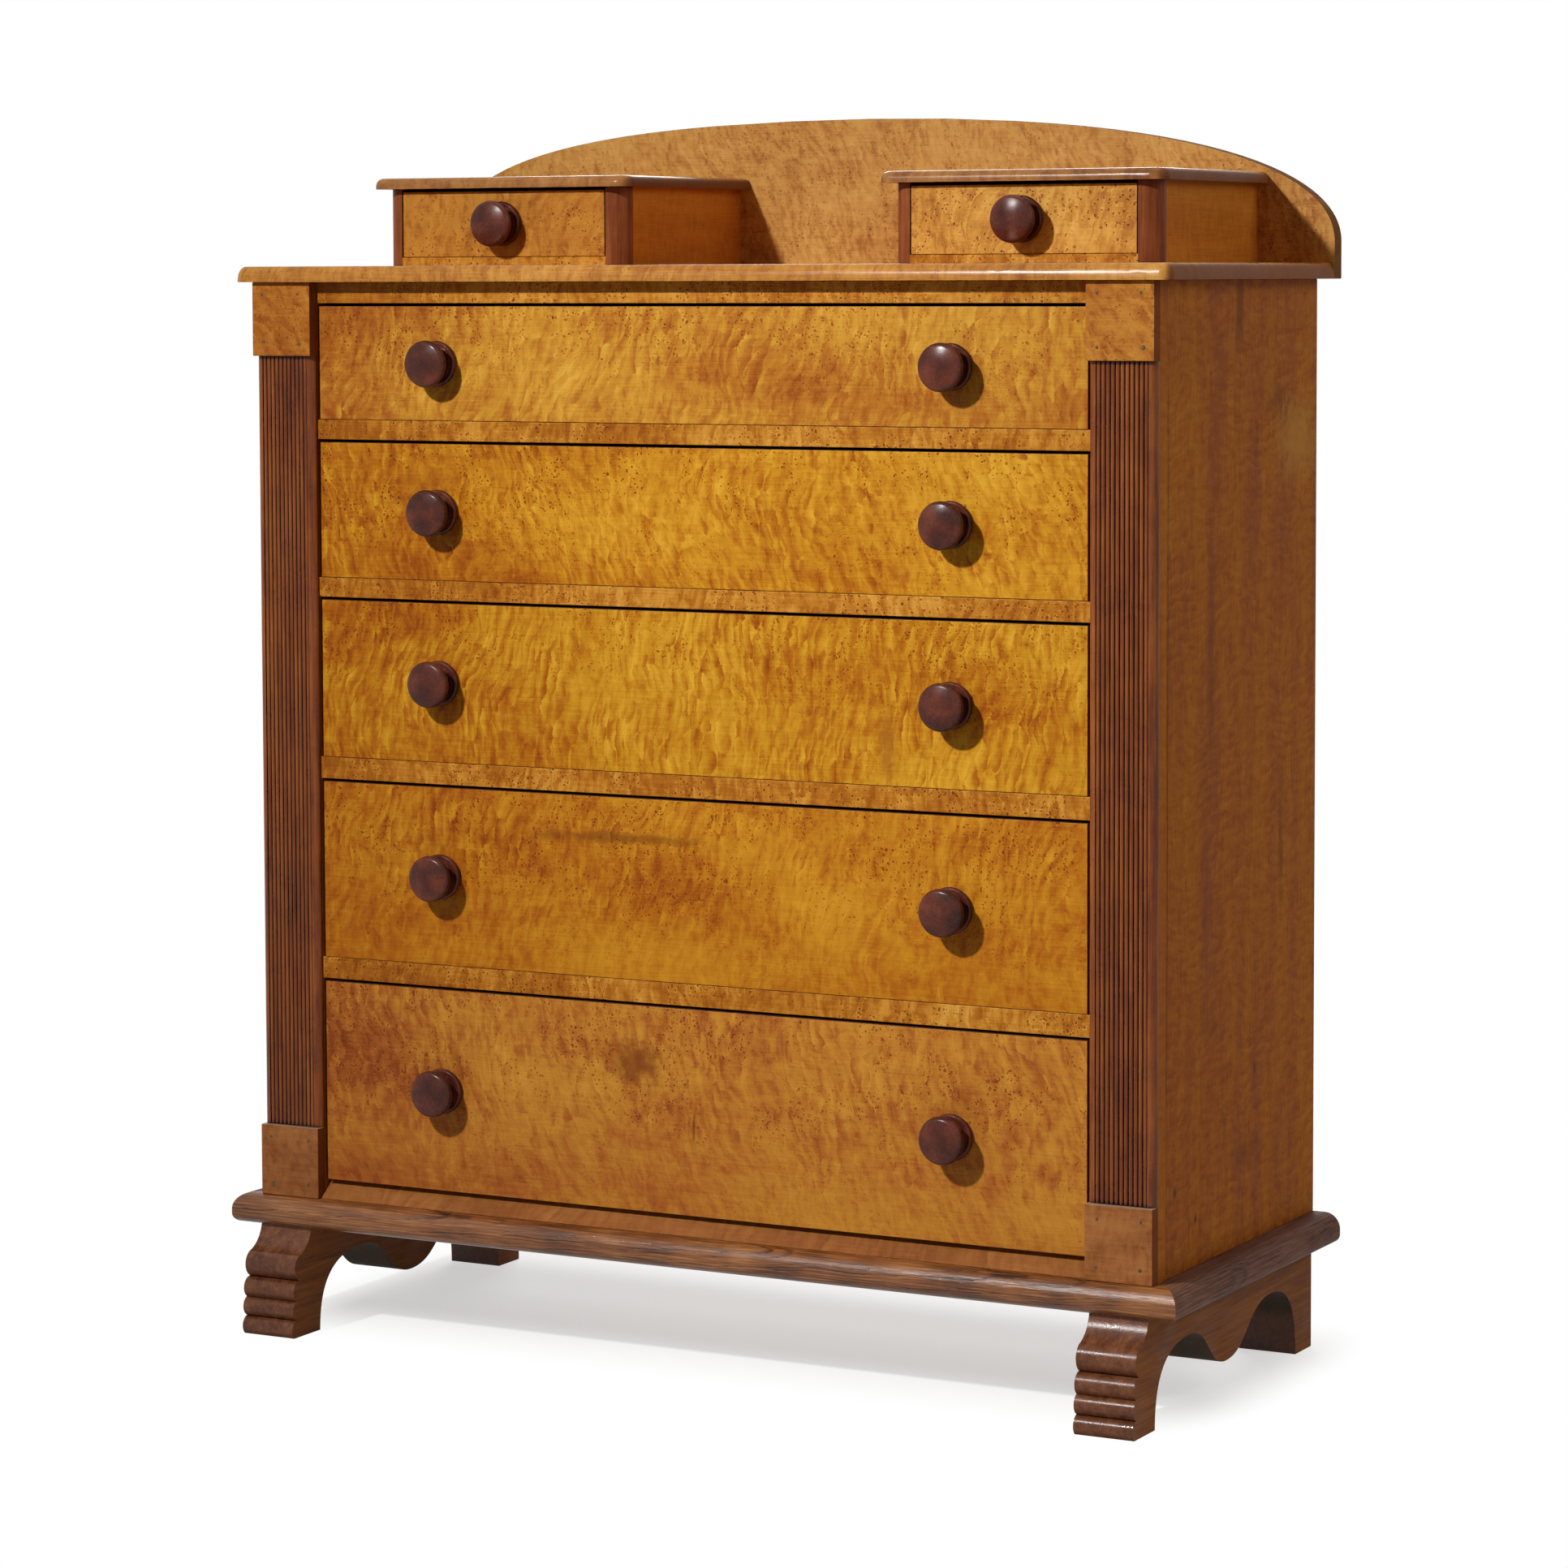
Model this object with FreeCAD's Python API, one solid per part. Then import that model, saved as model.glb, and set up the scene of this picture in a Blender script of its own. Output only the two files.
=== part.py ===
import FreeCAD, Part
import math
import os
from collections import namedtuple

Vector = FreeCAD.Vector

# Maple chest of drawers: five graduated drawers between reeded pilasters, a moulded top with an arched
# backboard, two deck boxes with a drawer each, a bullnose base moulding and lobed bracket feet.
# Millimetres, +Z up, drawers open towards -Y. The origin lies on the floor, under the middle of the whole.

# Cuts and fits
overrun = 2.0  # how far a cutter passes the face that it cuts
run_gap = 0.3  # under a drawer, between it and its runner
glue_gap = 0.1  # round a tenon, a knob's shank or a panel's edge in its groove
arris_radius = 1.0  # softened edge of a block or a drawer front

# Case
case_width = 1067.0
case_depth = 420.0  # from the drawer fronts to the back of the case
board_thick = 18.5  # side panels and stiles
pilaster_width = 74.3  # stiles, blocks and reeded strips
rail_depth = 60.0
tenon_length = 20.0
tenon_thick = 8.0
tenon_shoulder = 3.0
back_thick = 12.0
back_rabbet = 9.0
back_board_count = 4
back_board_gap = 1.0
bottom_board_thick = 12.0
runner_width = 80.0
guide_height = 20.0

# Case drawers and the rails between them, from the top down
drawer_heights = (122.4, 146.6, 171.3, 192.7, 219.5)
rail_heights = (21.4, 21.3, 23.8, 23.5)
top_rail_height = 23.1
bottom_rail_height = 19.9
bevel_reach = 9.0  # foot of the bottom rail's bevel, in front of the drawer fronts
bevel_set_back = 12.0  # head of the bevel, behind the drawer fronts
drawer_top_gap = 3.0
drawer_side_gap = 3.2
drawer_back_room = 8.0
knob_spacing = 610.0

# Boards of a case drawer
front_thick = 20.0
side_thick = 12.0
rear_thick = 12.0
panel_thick = 8.0
groove_depth = 6.0
groove_height = 10.0  # from the drawer's lower edge to its bottom panel
side_drop = 6.0  # how much lower the sides are than the front
front_lap = 6.0  # wood left in front of the dovetails
tail_pitch = 42.0

# Boards of a deck box drawer
small_front_thick = 15.0
small_side_thick = 8.0
small_rear_thick = 8.0
small_panel_thick = 5.0
small_groove_depth = 4.0
small_groove_height = 6.0
small_side_drop = 3.0
small_front_lap = 5.0
small_tail_pitch = 34.0

# Dovetails
tail_neck_share = 0.6  # of the pitch
tail_slope_share = 1 / 6

# Knobs
knob_head_radius = 25.0
knob_head_height = 13.0
knob_projection = 33.8
knob_flange_radius = 24.5
knob_flange_height = 7.0
knob_rim_round = 2.0
knob_ring_radius = 19.0
knob_ring_height = 2.0
knob_neck_radius = 13.2
knob_shank_radius = 8.0
knob_face_share = 0.84  # radius where the rim turns into the domed face, of the head's
knob_widest_share = 0.35  # of the head's height
knob_rim_share = 0.75  # of the head's height

# Pilasters
upper_block_height = 80.0
lower_block_height = 77.5
block_thick = 14.0
reed_count = 11
reed_thick = 8.0
reed_depth = 2.2
reed_edge = 8.5

# Top and backboard
top_thick = 17.0
top_side_overhang = 19.5
top_front_overhang = 21.0
top_corner_radius = 12.0
top_thumbnail_width = 9.0
top_thumbnail_height = 15.0
splash_thick = 20.0
splash_end_height = 40.0
splash_rise = 139.0
splash_fullness_shares = (0.70, 0.62)  # left and right of the crown, which is not quite even

# Deck boxes
box_end_inset = 67.5  # from the end of the case to the box
box_width = 304.0
box_set_back = 150.0  # from the case drawers' fronts to the box drawer's front
box_floor_thick = 9.5
box_post_radius = 22.0
box_side_recess = 2.0
box_drawer_height = 72.0
box_drawer_top_gap = 3.2
box_drawer_side_gap = 1.2
box_drawer_back_room = 10.0
lid_thick = 12.0
lid_overhang = 12.0
lid_corner_radius = 17.0
lid_thumbnail_width = 8.0
lid_thumbnail_height = 9.0

# Base moulding
moulding_thick = 32.0
moulding_width = 100.0
moulding_side_reach = 31.0
moulding_front_reach = 27.5
moulding_top_round = 17.5
moulding_flat = 5.0  # upright band between the upper and the lower round

# Bracket feet, one plank a side
bracket_height = 116.0
bracket_thick = 65.0
bracket_side_inset = 2.0
foot_reach = 57.0  # lobes of the front foot, in front of the drawer fronts
front_foot_depth = 55.0
rear_foot_depth = 45.0
arch_height = 80.0
pendant_clearance = 33.0
throat_reach = 18.0
notch_height_shares = (0.0, 0.168, 0.345, 0.535)
notch_reach_shares = (0.93, 0.85, 0.85, 0.74)
lobe_reach_shares = (1.0, 0.974, 0.947)
belly_height_share = 0.65
belly_reach_share = 0.886
shoulder_height_share = 0.77
shoulder_reach_share = 0.74
cove_height_share = 0.88
cove_reach_share = 0.42
front_apex_share = 0.231
pendant_share = 0.491
rear_apex_share = 0.814
arch_fullness_share = 0.68
pendant_root_share = 0.55
pendant_tip_share = 0.5

# A quarter ellipse as a cubic curve
ellipse_share = 0.5523
diagonal_share = math.sqrt(0.5)
full_turn = 360

# Places worked out from the sizes
half_width = case_width / 2
inner_half = half_width - board_thick
opening_half = half_width - pilaster_width
whole_depth = foot_reach + case_depth + splash_thick
face_y = foot_reach - whole_depth / 2
back_y = face_y + case_depth
back_face_y = back_y - back_thick
rail_back_y = face_y + rail_depth
base_z = bracket_height + moulding_thick
sill_z = base_z + bottom_rail_height
openings_height = sum(drawer_heights) + len(drawer_heights) * (run_gap + drawer_top_gap)
case_top_z = sill_z + openings_height + sum(rail_heights) + top_rail_height
top_z = case_top_z + top_thick
drawer_length = back_face_y - drawer_back_room - face_y

Boards = namedtuple("Boards", "front side rear panel groove_depth groove_height side_drop lap pitch")
case_boards = Boards(front_thick, side_thick, rear_thick, panel_thick, groove_depth, groove_height,
                     side_drop, front_lap, tail_pitch)
deck_boards = Boards(small_front_thick, small_side_thick, small_rear_thick, small_panel_thick,
                     small_groove_depth, small_groove_height, small_side_drop, small_front_lap,
                     small_tail_pitch)
pieces = {}


def box(x_span, y_span, z_span):
    """A rectangular board between three pairs of limits."""
    corner = Vector(x_span[0], y_span[0], z_span[0])
    return Part.makeBox(x_span[1] - x_span[0], y_span[1] - y_span[0], z_span[1] - z_span[0], corner)


def grown(span, margin):
    """The same limits, wider by a margin at both ends."""
    return (span[0] - margin, span[1] + margin)


def middle(span):
    """Half way between two limits."""
    return (span[0] + span[1]) / 2


def mirrored(shape):
    """The left-hand copy of a right-hand piece."""
    return shape.mirror(Vector(0, 0, 0), Vector(1, 0, 0))


def quarter(start, corner, end, share=ellipse_share):
    """Step of an outline: a quarter round that leaves and arrives along the lines to its corner."""
    return ("curve", start + (corner - start) * share, end + (corner - end) * share, end)


def face_of(start, steps):
    """A flat face whose edge follows lines, arcs and curves from a start point, and closes by itself."""
    edges = []
    here = start
    for kind, *points in steps + [("line", start)]:
        end = points[-1]
        if kind == "line":
            curve = Part.LineSegment(here, end)
        elif kind == "arc":
            curve = Part.Arc(here, points[0], end)
        else:
            curve = Part.BezierCurve()
            curve.setPoles([here] + points)
        edges.append(curve.toShape())
        here = end
    return Part.Face(Part.Wire(edges))


def both_sides(name, right_piece):
    """Keeps a right-hand piece and its mirrored left-hand twin."""
    pieces[name + "_right"] = right_piece
    pieces[name + "_left"] = mirrored(right_piece)


def soften(shape, is_soft):
    """Rounds the edges whose middle point answers a test."""
    edges = [edge for edge in shape.Edges if is_soft(edge.CenterOfMass)]
    return shape.makeFillet(arris_radius, edges)


# Drawer openings
def drawer_levels():
    """Lower edge of each drawer, from the top down."""
    levels = []
    level = case_top_z - top_rail_height
    for height, rail_height in zip(drawer_heights, rail_heights + (bottom_rail_height,)):
        level = level - drawer_top_gap - height
        levels.append(level)
        level = level - run_gap - rail_height
    return levels


levels = drawer_levels()


# Case joinery
def tenon(z_span, margin=0):
    """A rail's right-hand tenon or, with a margin, the mortise for it."""
    low_y = face_y + (board_thick - tenon_thick) / 2
    return box((opening_half, opening_half + tenon_length + margin),
               grown((low_y, low_y + tenon_thick), margin), grown(z_span, margin - tenon_shoulder))


def square_bar(z_span):
    """The plain length of a rail between the stiles."""
    return box((-opening_half, opening_half), (face_y, rail_back_y), z_span)


def bevelled_bar():
    """The bottom rail's length, with a bevel that runs out under the lowest drawer."""
    start = Vector(-opening_half, face_y - bevel_reach, base_z)
    steps = [
        ("line", Vector(-opening_half, face_y + bevel_set_back, sill_z)),
        ("line", Vector(-opening_half, rail_back_y, sill_z)),
        ("line", Vector(-opening_half, rail_back_y, base_z)),
    ]
    return face_of(start, steps).extrude(Vector(2 * opening_half, 0, 0))


def make_frame():
    """Rails, stiles, side panels, bottom and back."""
    rail_spans = {"top_rail": (case_top_z - top_rail_height, case_top_z)}
    for number, height in enumerate(rail_heights):
        high_z = levels[number] - run_gap
        rail_spans[f"drawer_rail_{number + 1}"] = (high_z - height, high_z)
    rail_spans["bottom_rail"] = (base_z, sill_z)

    stile = box((opening_half, half_width), (face_y, face_y + board_thick), (base_z, case_top_z))
    for name, z_span in rail_spans.items():
        bar = bevelled_bar() if name == "bottom_rail" else square_bar(z_span)
        right_tenon = tenon(z_span)
        pieces[name] = bar.multiFuse([right_tenon, mirrored(right_tenon)]).removeSplitter()
        stile = stile.cut(tenon(z_span, glue_gap))
    both_sides("front_stile", stile)

    panel = box((inner_half, half_width), (face_y + board_thick, back_y), (base_z, case_top_z))
    rabbet = box((inner_half - overrun, inner_half + back_rabbet), (back_face_y, back_y + overrun),
                 grown((base_z, case_top_z), overrun))
    both_sides("side_panel", panel.cut(rabbet))

    pieces["bottom_board"] = box((-inner_half, inner_half), (rail_back_y, back_face_y),
                                 (base_z, base_z + bottom_board_thick))

    board_reach = inner_half + back_rabbet
    step = (case_top_z - base_z + back_board_gap) / back_board_count
    boards = []
    for number in range(back_board_count):
        low_z = base_z + number * step
        boards.append(box((-board_reach, board_reach), (back_face_y, back_y),
                          (low_z, low_z + step - back_board_gap)))
    pieces["back_boards"] = Part.makeCompound(boards)


def make_runners():
    """A runner and a guide for each end of each drawer, and kickers over the top drawer."""
    runner_x = (inner_half - runner_width, inner_half)
    guide_x = (opening_half, inner_half)
    runner_y = (rail_back_y, back_face_y)
    guide_y = (face_y + board_thick, back_face_y)
    strips = [box(runner_x, runner_y, (case_top_z - top_rail_height, case_top_z))]
    for level, height in zip(levels, rail_heights + (bottom_rail_height - bottom_board_thick,)):
        high_z = level - run_gap
        strips.append(box(runner_x, runner_y, (high_z - height, high_z)))
        strips.append(box(guide_x, guide_y, (high_z, high_z + guide_height)))
    pieces["drawer_runners"] = Part.makeCompound(strips + [mirrored(strip) for strip in strips])


# Pilasters
def block(low_z, height):
    """A square facing block at a corner of the front."""
    plain = box((opening_half, half_width), (face_y - block_thick, face_y), (low_z, low_z + height))
    return soften(plain, lambda point: point.y < face_y - block_thick + arris_radius)


def reeded_strip(low_z, high_z):
    """A strip with a quarter-round edge each side and reeds between, cut along its length."""
    crest_y = face_y - reed_thick
    groove_y = crest_y + reed_depth
    pitch = (pilaster_width - 2 * reed_edge) / reed_count
    start = Vector(opening_half, face_y, low_z)
    first = Vector(opening_half + reed_edge, crest_y, low_z)
    steps = [quarter(start, Vector(opening_half, crest_y, low_z), first)]
    steps.append(("line", Vector(first.x, groove_y, low_z)))
    for number in range(reed_count):
        left_x = first.x + number * pitch
        crest = Vector(left_x + pitch / 2, crest_y, low_z)
        steps.append(("arc", crest, Vector(left_x + pitch, groove_y, low_z)))
    last = Vector(half_width - reed_edge, crest_y, low_z)
    steps.append(("line", last))
    steps.append(quarter(last, Vector(half_width, crest_y, low_z), Vector(half_width, face_y, low_z)))
    return face_of(start, steps).extrude(Vector(0, 0, high_z - low_z))


def make_pilasters():
    """Blocks and reeded strips on the stiles."""
    lower_z = base_z + lower_block_height
    upper_z = case_top_z - upper_block_height
    both_sides("lower_block", block(base_z, lower_block_height))
    both_sides("upper_block", block(upper_z, upper_block_height))
    both_sides("reeded_pilaster", reeded_strip(lower_z, upper_z))


# Top, backboard and deck box lids
def thumbnail_board(x_span, y_span, low_z, thick, corner_radius, nail_width, nail_height):
    """A board with rounded front corners and a thumbnail moulding along its front and its ends."""
    left_x, right_x = x_span
    front_y, rear_y = y_span
    high_z = low_z + thick
    past_y = rear_y + overrun
    bend = corner_radius * (1 - diagonal_share)
    left_bend = Vector(left_x + bend, front_y + bend, high_z)
    right_bend = Vector(right_x - bend, front_y + bend, high_z)
    start = Vector(left_x, past_y, high_z)
    turns = [
        ("line", Vector(left_x, front_y + corner_radius, high_z)),
        ("arc", left_bend, Vector(left_x + corner_radius, front_y, high_z)),
        ("line", Vector(right_x - corner_radius, front_y, high_z)),
        ("arc", right_bend, Vector(right_x, front_y + corner_radius, high_z)),
        ("line", Vector(right_x, past_y, high_z)),
    ]
    plan = face_of(start, turns)
    board = plan.extrude(Vector(0, 0, -thick))
    board = board.cut(box(grown(x_span, overrun), (rear_y, past_y + overrun),
                          grown((low_z, high_z), overrun)))
    path = Part.Wire(plan.Edges[:len(turns)])
    nail_low = Vector(left_x, past_y, high_z - nail_height)
    nail_high = Vector(left_x + nail_width, past_y, high_z)
    outside_x = left_x - overrun
    outside_z = high_z + overrun
    section = face_of(nail_low, [
        quarter(nail_low, start, nail_high),
        ("line", Vector(nail_high.x, past_y, outside_z)),
        ("line", Vector(outside_x, past_y, outside_z)),
        ("line", Vector(outside_x, past_y, nail_low.z)),
    ])
    cutter = path.makePipeShell([section.OuterWire], True, False)
    return board.cut(cutter)


def make_top():
    """Top board and arched backboard."""
    top_half = half_width + top_side_overhang
    pieces["top_board"] = thumbnail_board((-top_half, top_half), (face_y - top_front_overhang, back_y),
                                          case_top_z, top_thick, top_corner_radius,
                                          top_thumbnail_width, top_thumbnail_height)
    end_z = case_top_z + splash_end_height
    crown_z = end_z + splash_rise
    start = Vector(-top_half, back_y, case_top_z)
    left_end = Vector(-top_half, back_y, end_z)
    right_end = Vector(top_half, back_y, end_z)
    crown = Vector(0, back_y, crown_z)
    left_share, right_share = splash_fullness_shares
    outline = face_of(start, [
        ("line", left_end),
        quarter(left_end, Vector(-top_half, back_y, crown_z), crown, left_share),
        quarter(crown, Vector(top_half, back_y, crown_z), right_end, right_share),
        ("line", Vector(top_half, back_y, case_top_z)),
    ])
    pieces["splashback"] = outline.extrude(Vector(0, splash_thick, 0))


# Deck boxes
box_front_y = face_y + box_set_back
box_end_x = half_width - box_end_inset
box_x = (box_end_x - box_width, box_end_x)
box_opening_x = grown(box_x, -box_post_radius)
box_sill_z = top_z + box_floor_thick
box_top_z = box_sill_z + run_gap + box_drawer_height + box_drawer_top_gap


def corner_post(outer_x, inner_x):
    """A quarter-round post at a front corner of a deck box."""
    rear_y = box_front_y + box_post_radius
    start = Vector(outer_x, rear_y, top_z)
    nose = Vector(inner_x, box_front_y, top_z)
    outline = face_of(start, [
        quarter(start, Vector(outer_x, box_front_y, top_z), nose),
        ("line", Vector(inner_x, rear_y, top_z)),
    ])
    return outline.extrude(Vector(0, 0, box_top_z - top_z))


def make_deck_boxes():
    """The two boxes that stand on the top, in front of the backboard."""
    side_y = (box_front_y + box_post_radius, back_y)
    z_span = (top_z, box_top_z)
    near_side = box((box_x[0] + box_side_recess, box_opening_x[0]), side_y, z_span)
    far_side = box((box_opening_x[1], box_x[1] - box_side_recess), side_y, z_span)
    near_post = corner_post(box_x[0], box_opening_x[0])
    far_post = corner_post(box_x[1], box_opening_x[1])
    lid = thumbnail_board(grown(box_x, lid_overhang), (box_front_y - lid_overhang, back_y), box_top_z,
                          lid_thick, lid_corner_radius, lid_thumbnail_width, lid_thumbnail_height)
    right_box = {
        "sides": Part.makeCompound([near_side, far_side]),
        "posts": Part.makeCompound([near_post, far_post]),
        "floor": box(box_opening_x, (box_front_y, back_y), (top_z, box_sill_z)),
        "lid": lid,
    }
    for name, piece in right_box.items():
        pieces["right_box_" + name] = piece
        pieces["left_box_" + name] = mirrored(piece)


# Base
def bullnose(corner, outward, along):
    """A length of base moulding whose outer lower corner runs from one point along another."""
    def at(inset, height):
        return corner - outward * inset + Vector(0, 0, height)

    under_round = moulding_thick - moulding_top_round - moulding_flat
    start = at(moulding_width, 0)
    under = at(under_round, 0)
    low_side = at(0, under_round)
    high_side = at(0, moulding_thick - moulding_top_round)
    crest = at(moulding_top_round, moulding_thick)
    outline = face_of(start, [
        ("line", under),
        quarter(under, at(0, 0), low_side),
        ("line", high_side),
        quarter(high_side, at(0, moulding_thick), crest),
        ("line", at(moulding_width, moulding_thick)),
    ])
    return outline.extrude(along)


def mitre_wedge(corner, turn):
    """What a mitre takes off one of the two mouldings that meet at the right-hand corner."""
    depth = moulding_width + overrun
    height = moulding_thick + 2 * overrun
    outer = corner + Vector(overrun, -overrun, -overrun)
    inner = corner + Vector(-depth, depth, -overrun)
    square = Vector(outer.x, inner.y, outer.z) if turn == "front" else Vector(inner.x, outer.y, outer.z)
    return face_of(outer, [("line", inner), ("line", square)]).extrude(Vector(0, 0, height))


def make_base_moulding():
    """A front moulding mitred into one along each side."""
    reach = half_width + moulding_side_reach
    corner = Vector(reach, face_y - moulding_front_reach, bracket_height)
    left_corner = Vector(-reach, corner.y, corner.z)
    front = bullnose(left_corner, Vector(0, -1, 0), Vector(2 * reach, 0, 0))
    wedge = mitre_wedge(corner, "front")
    pieces["base_moulding_front"] = front.cut(wedge).cut(mirrored(wedge))
    side = bullnose(corner, Vector(1, 0, 0), Vector(0, back_y - corner.y, 0))
    both_sides("base_moulding", side.cut(mitre_wedge(corner, "side")))


def make_bracket():
    """One plank a side: lobed front foot, pendant between two arches, and rear foot."""
    outer_x = half_width - bracket_side_inset
    heel_y = face_y - foot_reach + front_foot_depth
    rear_foot_y = back_y - rear_foot_depth
    span = rear_foot_y - heel_y

    def at(y, z):
        return Vector(outer_x - bracket_thick, y, z)

    def lobe(reach_share, height_share):
        return at(face_y - foot_reach * reach_share, bracket_height * height_share)

    notches = [lobe(reach, height) for reach, height in zip(notch_reach_shares, notch_height_shares)]
    steps = []
    for number, reach_share in enumerate(lobe_reach_shares):
        crest_share = middle(notch_height_shares[number:number + 2])
        steps.append(("arc", lobe(reach_share, crest_share), notches[number + 1]))
    shoulder = lobe(shoulder_reach_share, shoulder_height_share)
    steps.append(("arc", lobe(belly_reach_share, belly_height_share), shoulder))
    throat = at(face_y - throat_reach, bracket_height)
    steps.append(("arc", lobe(cove_reach_share, cove_height_share), throat))
    steps.append(("line", at(back_y, bracket_height)))
    steps.append(("line", at(back_y, 0)))

    rear_foot = at(rear_foot_y, 0)
    rear_apex = at(heel_y + span * rear_apex_share, arch_height)
    pendant = at(heel_y + span * pendant_share, pendant_clearance)
    front_apex = at(heel_y + span * front_apex_share, arch_height)
    heel = at(heel_y, 0)

    def level_handle(point, other):
        share = pendant_tip_share if point is pendant else pendant_root_share
        return point + Vector(0, (other.y - point.y) * share, 0)

    def ogee(start, end):
        return ("curve", level_handle(start, end), level_handle(end, start), end)

    steps.append(("line", rear_foot))
    steps.append(quarter(rear_foot, at(rear_foot_y, arch_height), rear_apex, arch_fullness_share))
    steps.append(ogee(rear_apex, pendant))
    steps.append(ogee(pendant, front_apex))
    steps.append(quarter(front_apex, at(heel_y, arch_height), heel, arch_fullness_share))
    both_sides("bracket_base", face_of(notches[0], steps).extrude(Vector(bracket_thick, 0, 0)))


# Drawers
def tails(x_span, root_y, tip_y, z_span, pitch):
    """Dovetail tails across the thickness of a drawer side, from their necks to their tips."""
    height = z_span[1] - z_span[0]
    count = max(1, round(height / pitch))
    step = height / count
    neck = step * tail_neck_share / 2
    flare = neck + abs(tip_y - root_y) * tail_slope_share
    wedges = []
    for number in range(count):
        z = z_span[0] + (number + 0.5) * step
        outline = face_of(Vector(x_span[0], root_y, z - neck), [
            ("line", Vector(x_span[0], tip_y, z - flare)),
            ("line", Vector(x_span[0], tip_y, z + flare)),
            ("line", Vector(x_span[0], root_y, z + neck)),
        ])
        wedges.append(outline.extrude(Vector(x_span[1] - x_span[0], 0, 0)))
    return wedges


def knob(x, z, front_y, shank_length):
    """A turned knob: flange, ring, hollow neck and domed head on a shank that passes the front."""
    def at(radius, out):
        return Vector(x + radius, front_y - out, z)

    head_out = knob_projection - knob_head_height
    ring_out = knob_flange_height + knob_ring_height
    flange_flat = knob_flange_radius - knob_rim_round
    head_flat = knob_head_radius - knob_rim_round
    face_radius = knob_head_radius * knob_face_share
    rim_out = head_out + knob_head_height * knob_rim_share
    widest_out = head_out + knob_head_height * knob_widest_share
    dome_height = knob_projection - rim_out
    dome_radius = (face_radius ** 2 + dome_height ** 2) / (2 * dome_height)
    half_turn = math.asin(face_radius / dome_radius) / 2
    dome_point = at(dome_radius * math.sin(half_turn),
                    knob_projection - dome_radius * (1 - math.cos(half_turn)))
    outline = face_of(at(0, -shank_length), [
        ("line", at(knob_shank_radius, -shank_length)),
        ("line", at(knob_shank_radius, 0)),
        ("line", at(flange_flat, 0)),
        ("arc", at(knob_flange_radius, knob_flange_height / 2), at(flange_flat, knob_flange_height)),
        ("line", at(knob_ring_radius, knob_flange_height)),
        ("line", at(knob_ring_radius, ring_out)),
        ("arc", at(knob_neck_radius, (ring_out + head_out) / 2), at(knob_ring_radius, head_out)),
        ("line", at(head_flat, head_out)),
        ("arc", at(knob_head_radius, widest_out), at(face_radius, rim_out)),
        ("arc", dome_point, at(0, knob_projection)),
    ])
    return outline.revolve(Vector(x, 0, z), Vector(0, 1, 0), full_turn)


def make_drawer(middle_x, half, low_z, height, front_y, length, boards, knob_places):
    """A drawer: dovetailed front, sides and back, a bottom panel in grooves, and its knobs."""
    rear_y = front_y + length
    inner_y = front_y + boards.front
    back_board_y = rear_y - boards.rear
    outer_x = (middle_x - half, middle_x + half)
    inner_x = grown(outer_x, -boards.side)
    side_z = (low_z, low_z + height - boards.side_drop)
    panel_z = (low_z + boards.groove_height, low_z + boards.groove_height + boards.panel)
    rear_z = (panel_z[1], side_z[1])

    panel_x = grown(inner_x, boards.groove_depth - glue_gap)
    panel_y = (inner_y - boards.groove_depth + glue_gap, rear_y)
    bottom = box(panel_x, panel_y, panel_z)
    groove = box(grown(panel_x, glue_gap), (panel_y[0] - glue_gap, rear_y + overrun),
                 grown(panel_z, glue_gap))

    front = box(outer_x, (front_y, inner_y), (low_z, low_z + height))
    front = soften(front, lambda point: point.y < front_y + arris_radius)
    front = front.cut(groove)
    back = box(outer_x, (back_board_y, rear_y), rear_z)
    sides = []
    for x_span in ((outer_x[0], inner_x[0]), (inner_x[1], outer_x[1])):
        front_tails = tails(x_span, inner_y, front_y + boards.lap, side_z, boards.pitch)
        rear_tails = tails(x_span, back_board_y, rear_y, rear_z, boards.pitch)
        front = front.cut(Part.makeCompound(front_tails))
        back = back.cut(Part.makeCompound(rear_tails))
        heel = box(x_span, (back_board_y, rear_y), (low_z, panel_z[1]))
        side = box(x_span, (inner_y, back_board_y), side_z)
        side = side.multiFuse(front_tails + rear_tails + [heel]).removeSplitter()
        sides.append(side.cut(groove))

    knobs = []
    knob_z = low_z + height / 2
    for x in knob_places:
        knobs.append(knob(x, knob_z, front_y, boards.front))
        hole_radius = knob_shank_radius + glue_gap
        hole_start = Vector(x, front_y - overrun, knob_z)
        hole_length = boards.front + 2 * overrun
        front = front.cut(Part.makeCylinder(hole_radius, hole_length, hole_start, Vector(0, 1, 0)))
    return front, sides, back, bottom, knobs


def make_case_drawers():
    """The five drawers of the case, numbered from the top."""
    half = opening_half - drawer_side_gap
    knob_places = (-knob_spacing / 2, knob_spacing / 2)
    for number, (low_z, height) in enumerate(zip(levels, drawer_heights)):
        front, sides, back, bottom, knobs = make_drawer(0, half, low_z, height, face_y, drawer_length,
                                                        case_boards, knob_places)
        name = f"drawer_{number + 1}_"
        pieces[name + "front"] = front
        pieces[name + "box"] = Part.makeCompound(sides + [back])
        pieces[name + "bottom"] = bottom
        pieces[name + "knobs"] = Part.makeCompound(knobs)


def make_deck_drawers():
    """One small drawer in each deck box."""
    half = (box_opening_x[1] - box_opening_x[0]) / 2 - box_drawer_side_gap
    length = back_y - box_drawer_back_room - box_front_y
    for side, middle_x in (("left", -middle(box_x)), ("right", middle(box_x))):
        front, sides, back, bottom, knobs = make_drawer(middle_x, half, box_sill_z + run_gap,
                                                        box_drawer_height, box_front_y, length,
                                                        deck_boards, (middle_x,))
        name = f"{side}_box_drawer_"
        pieces[name + "front"] = front
        pieces[name + "box"] = Part.makeCompound(sides + [back, bottom])
        pieces[name + "knob"] = knobs[0]


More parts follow.
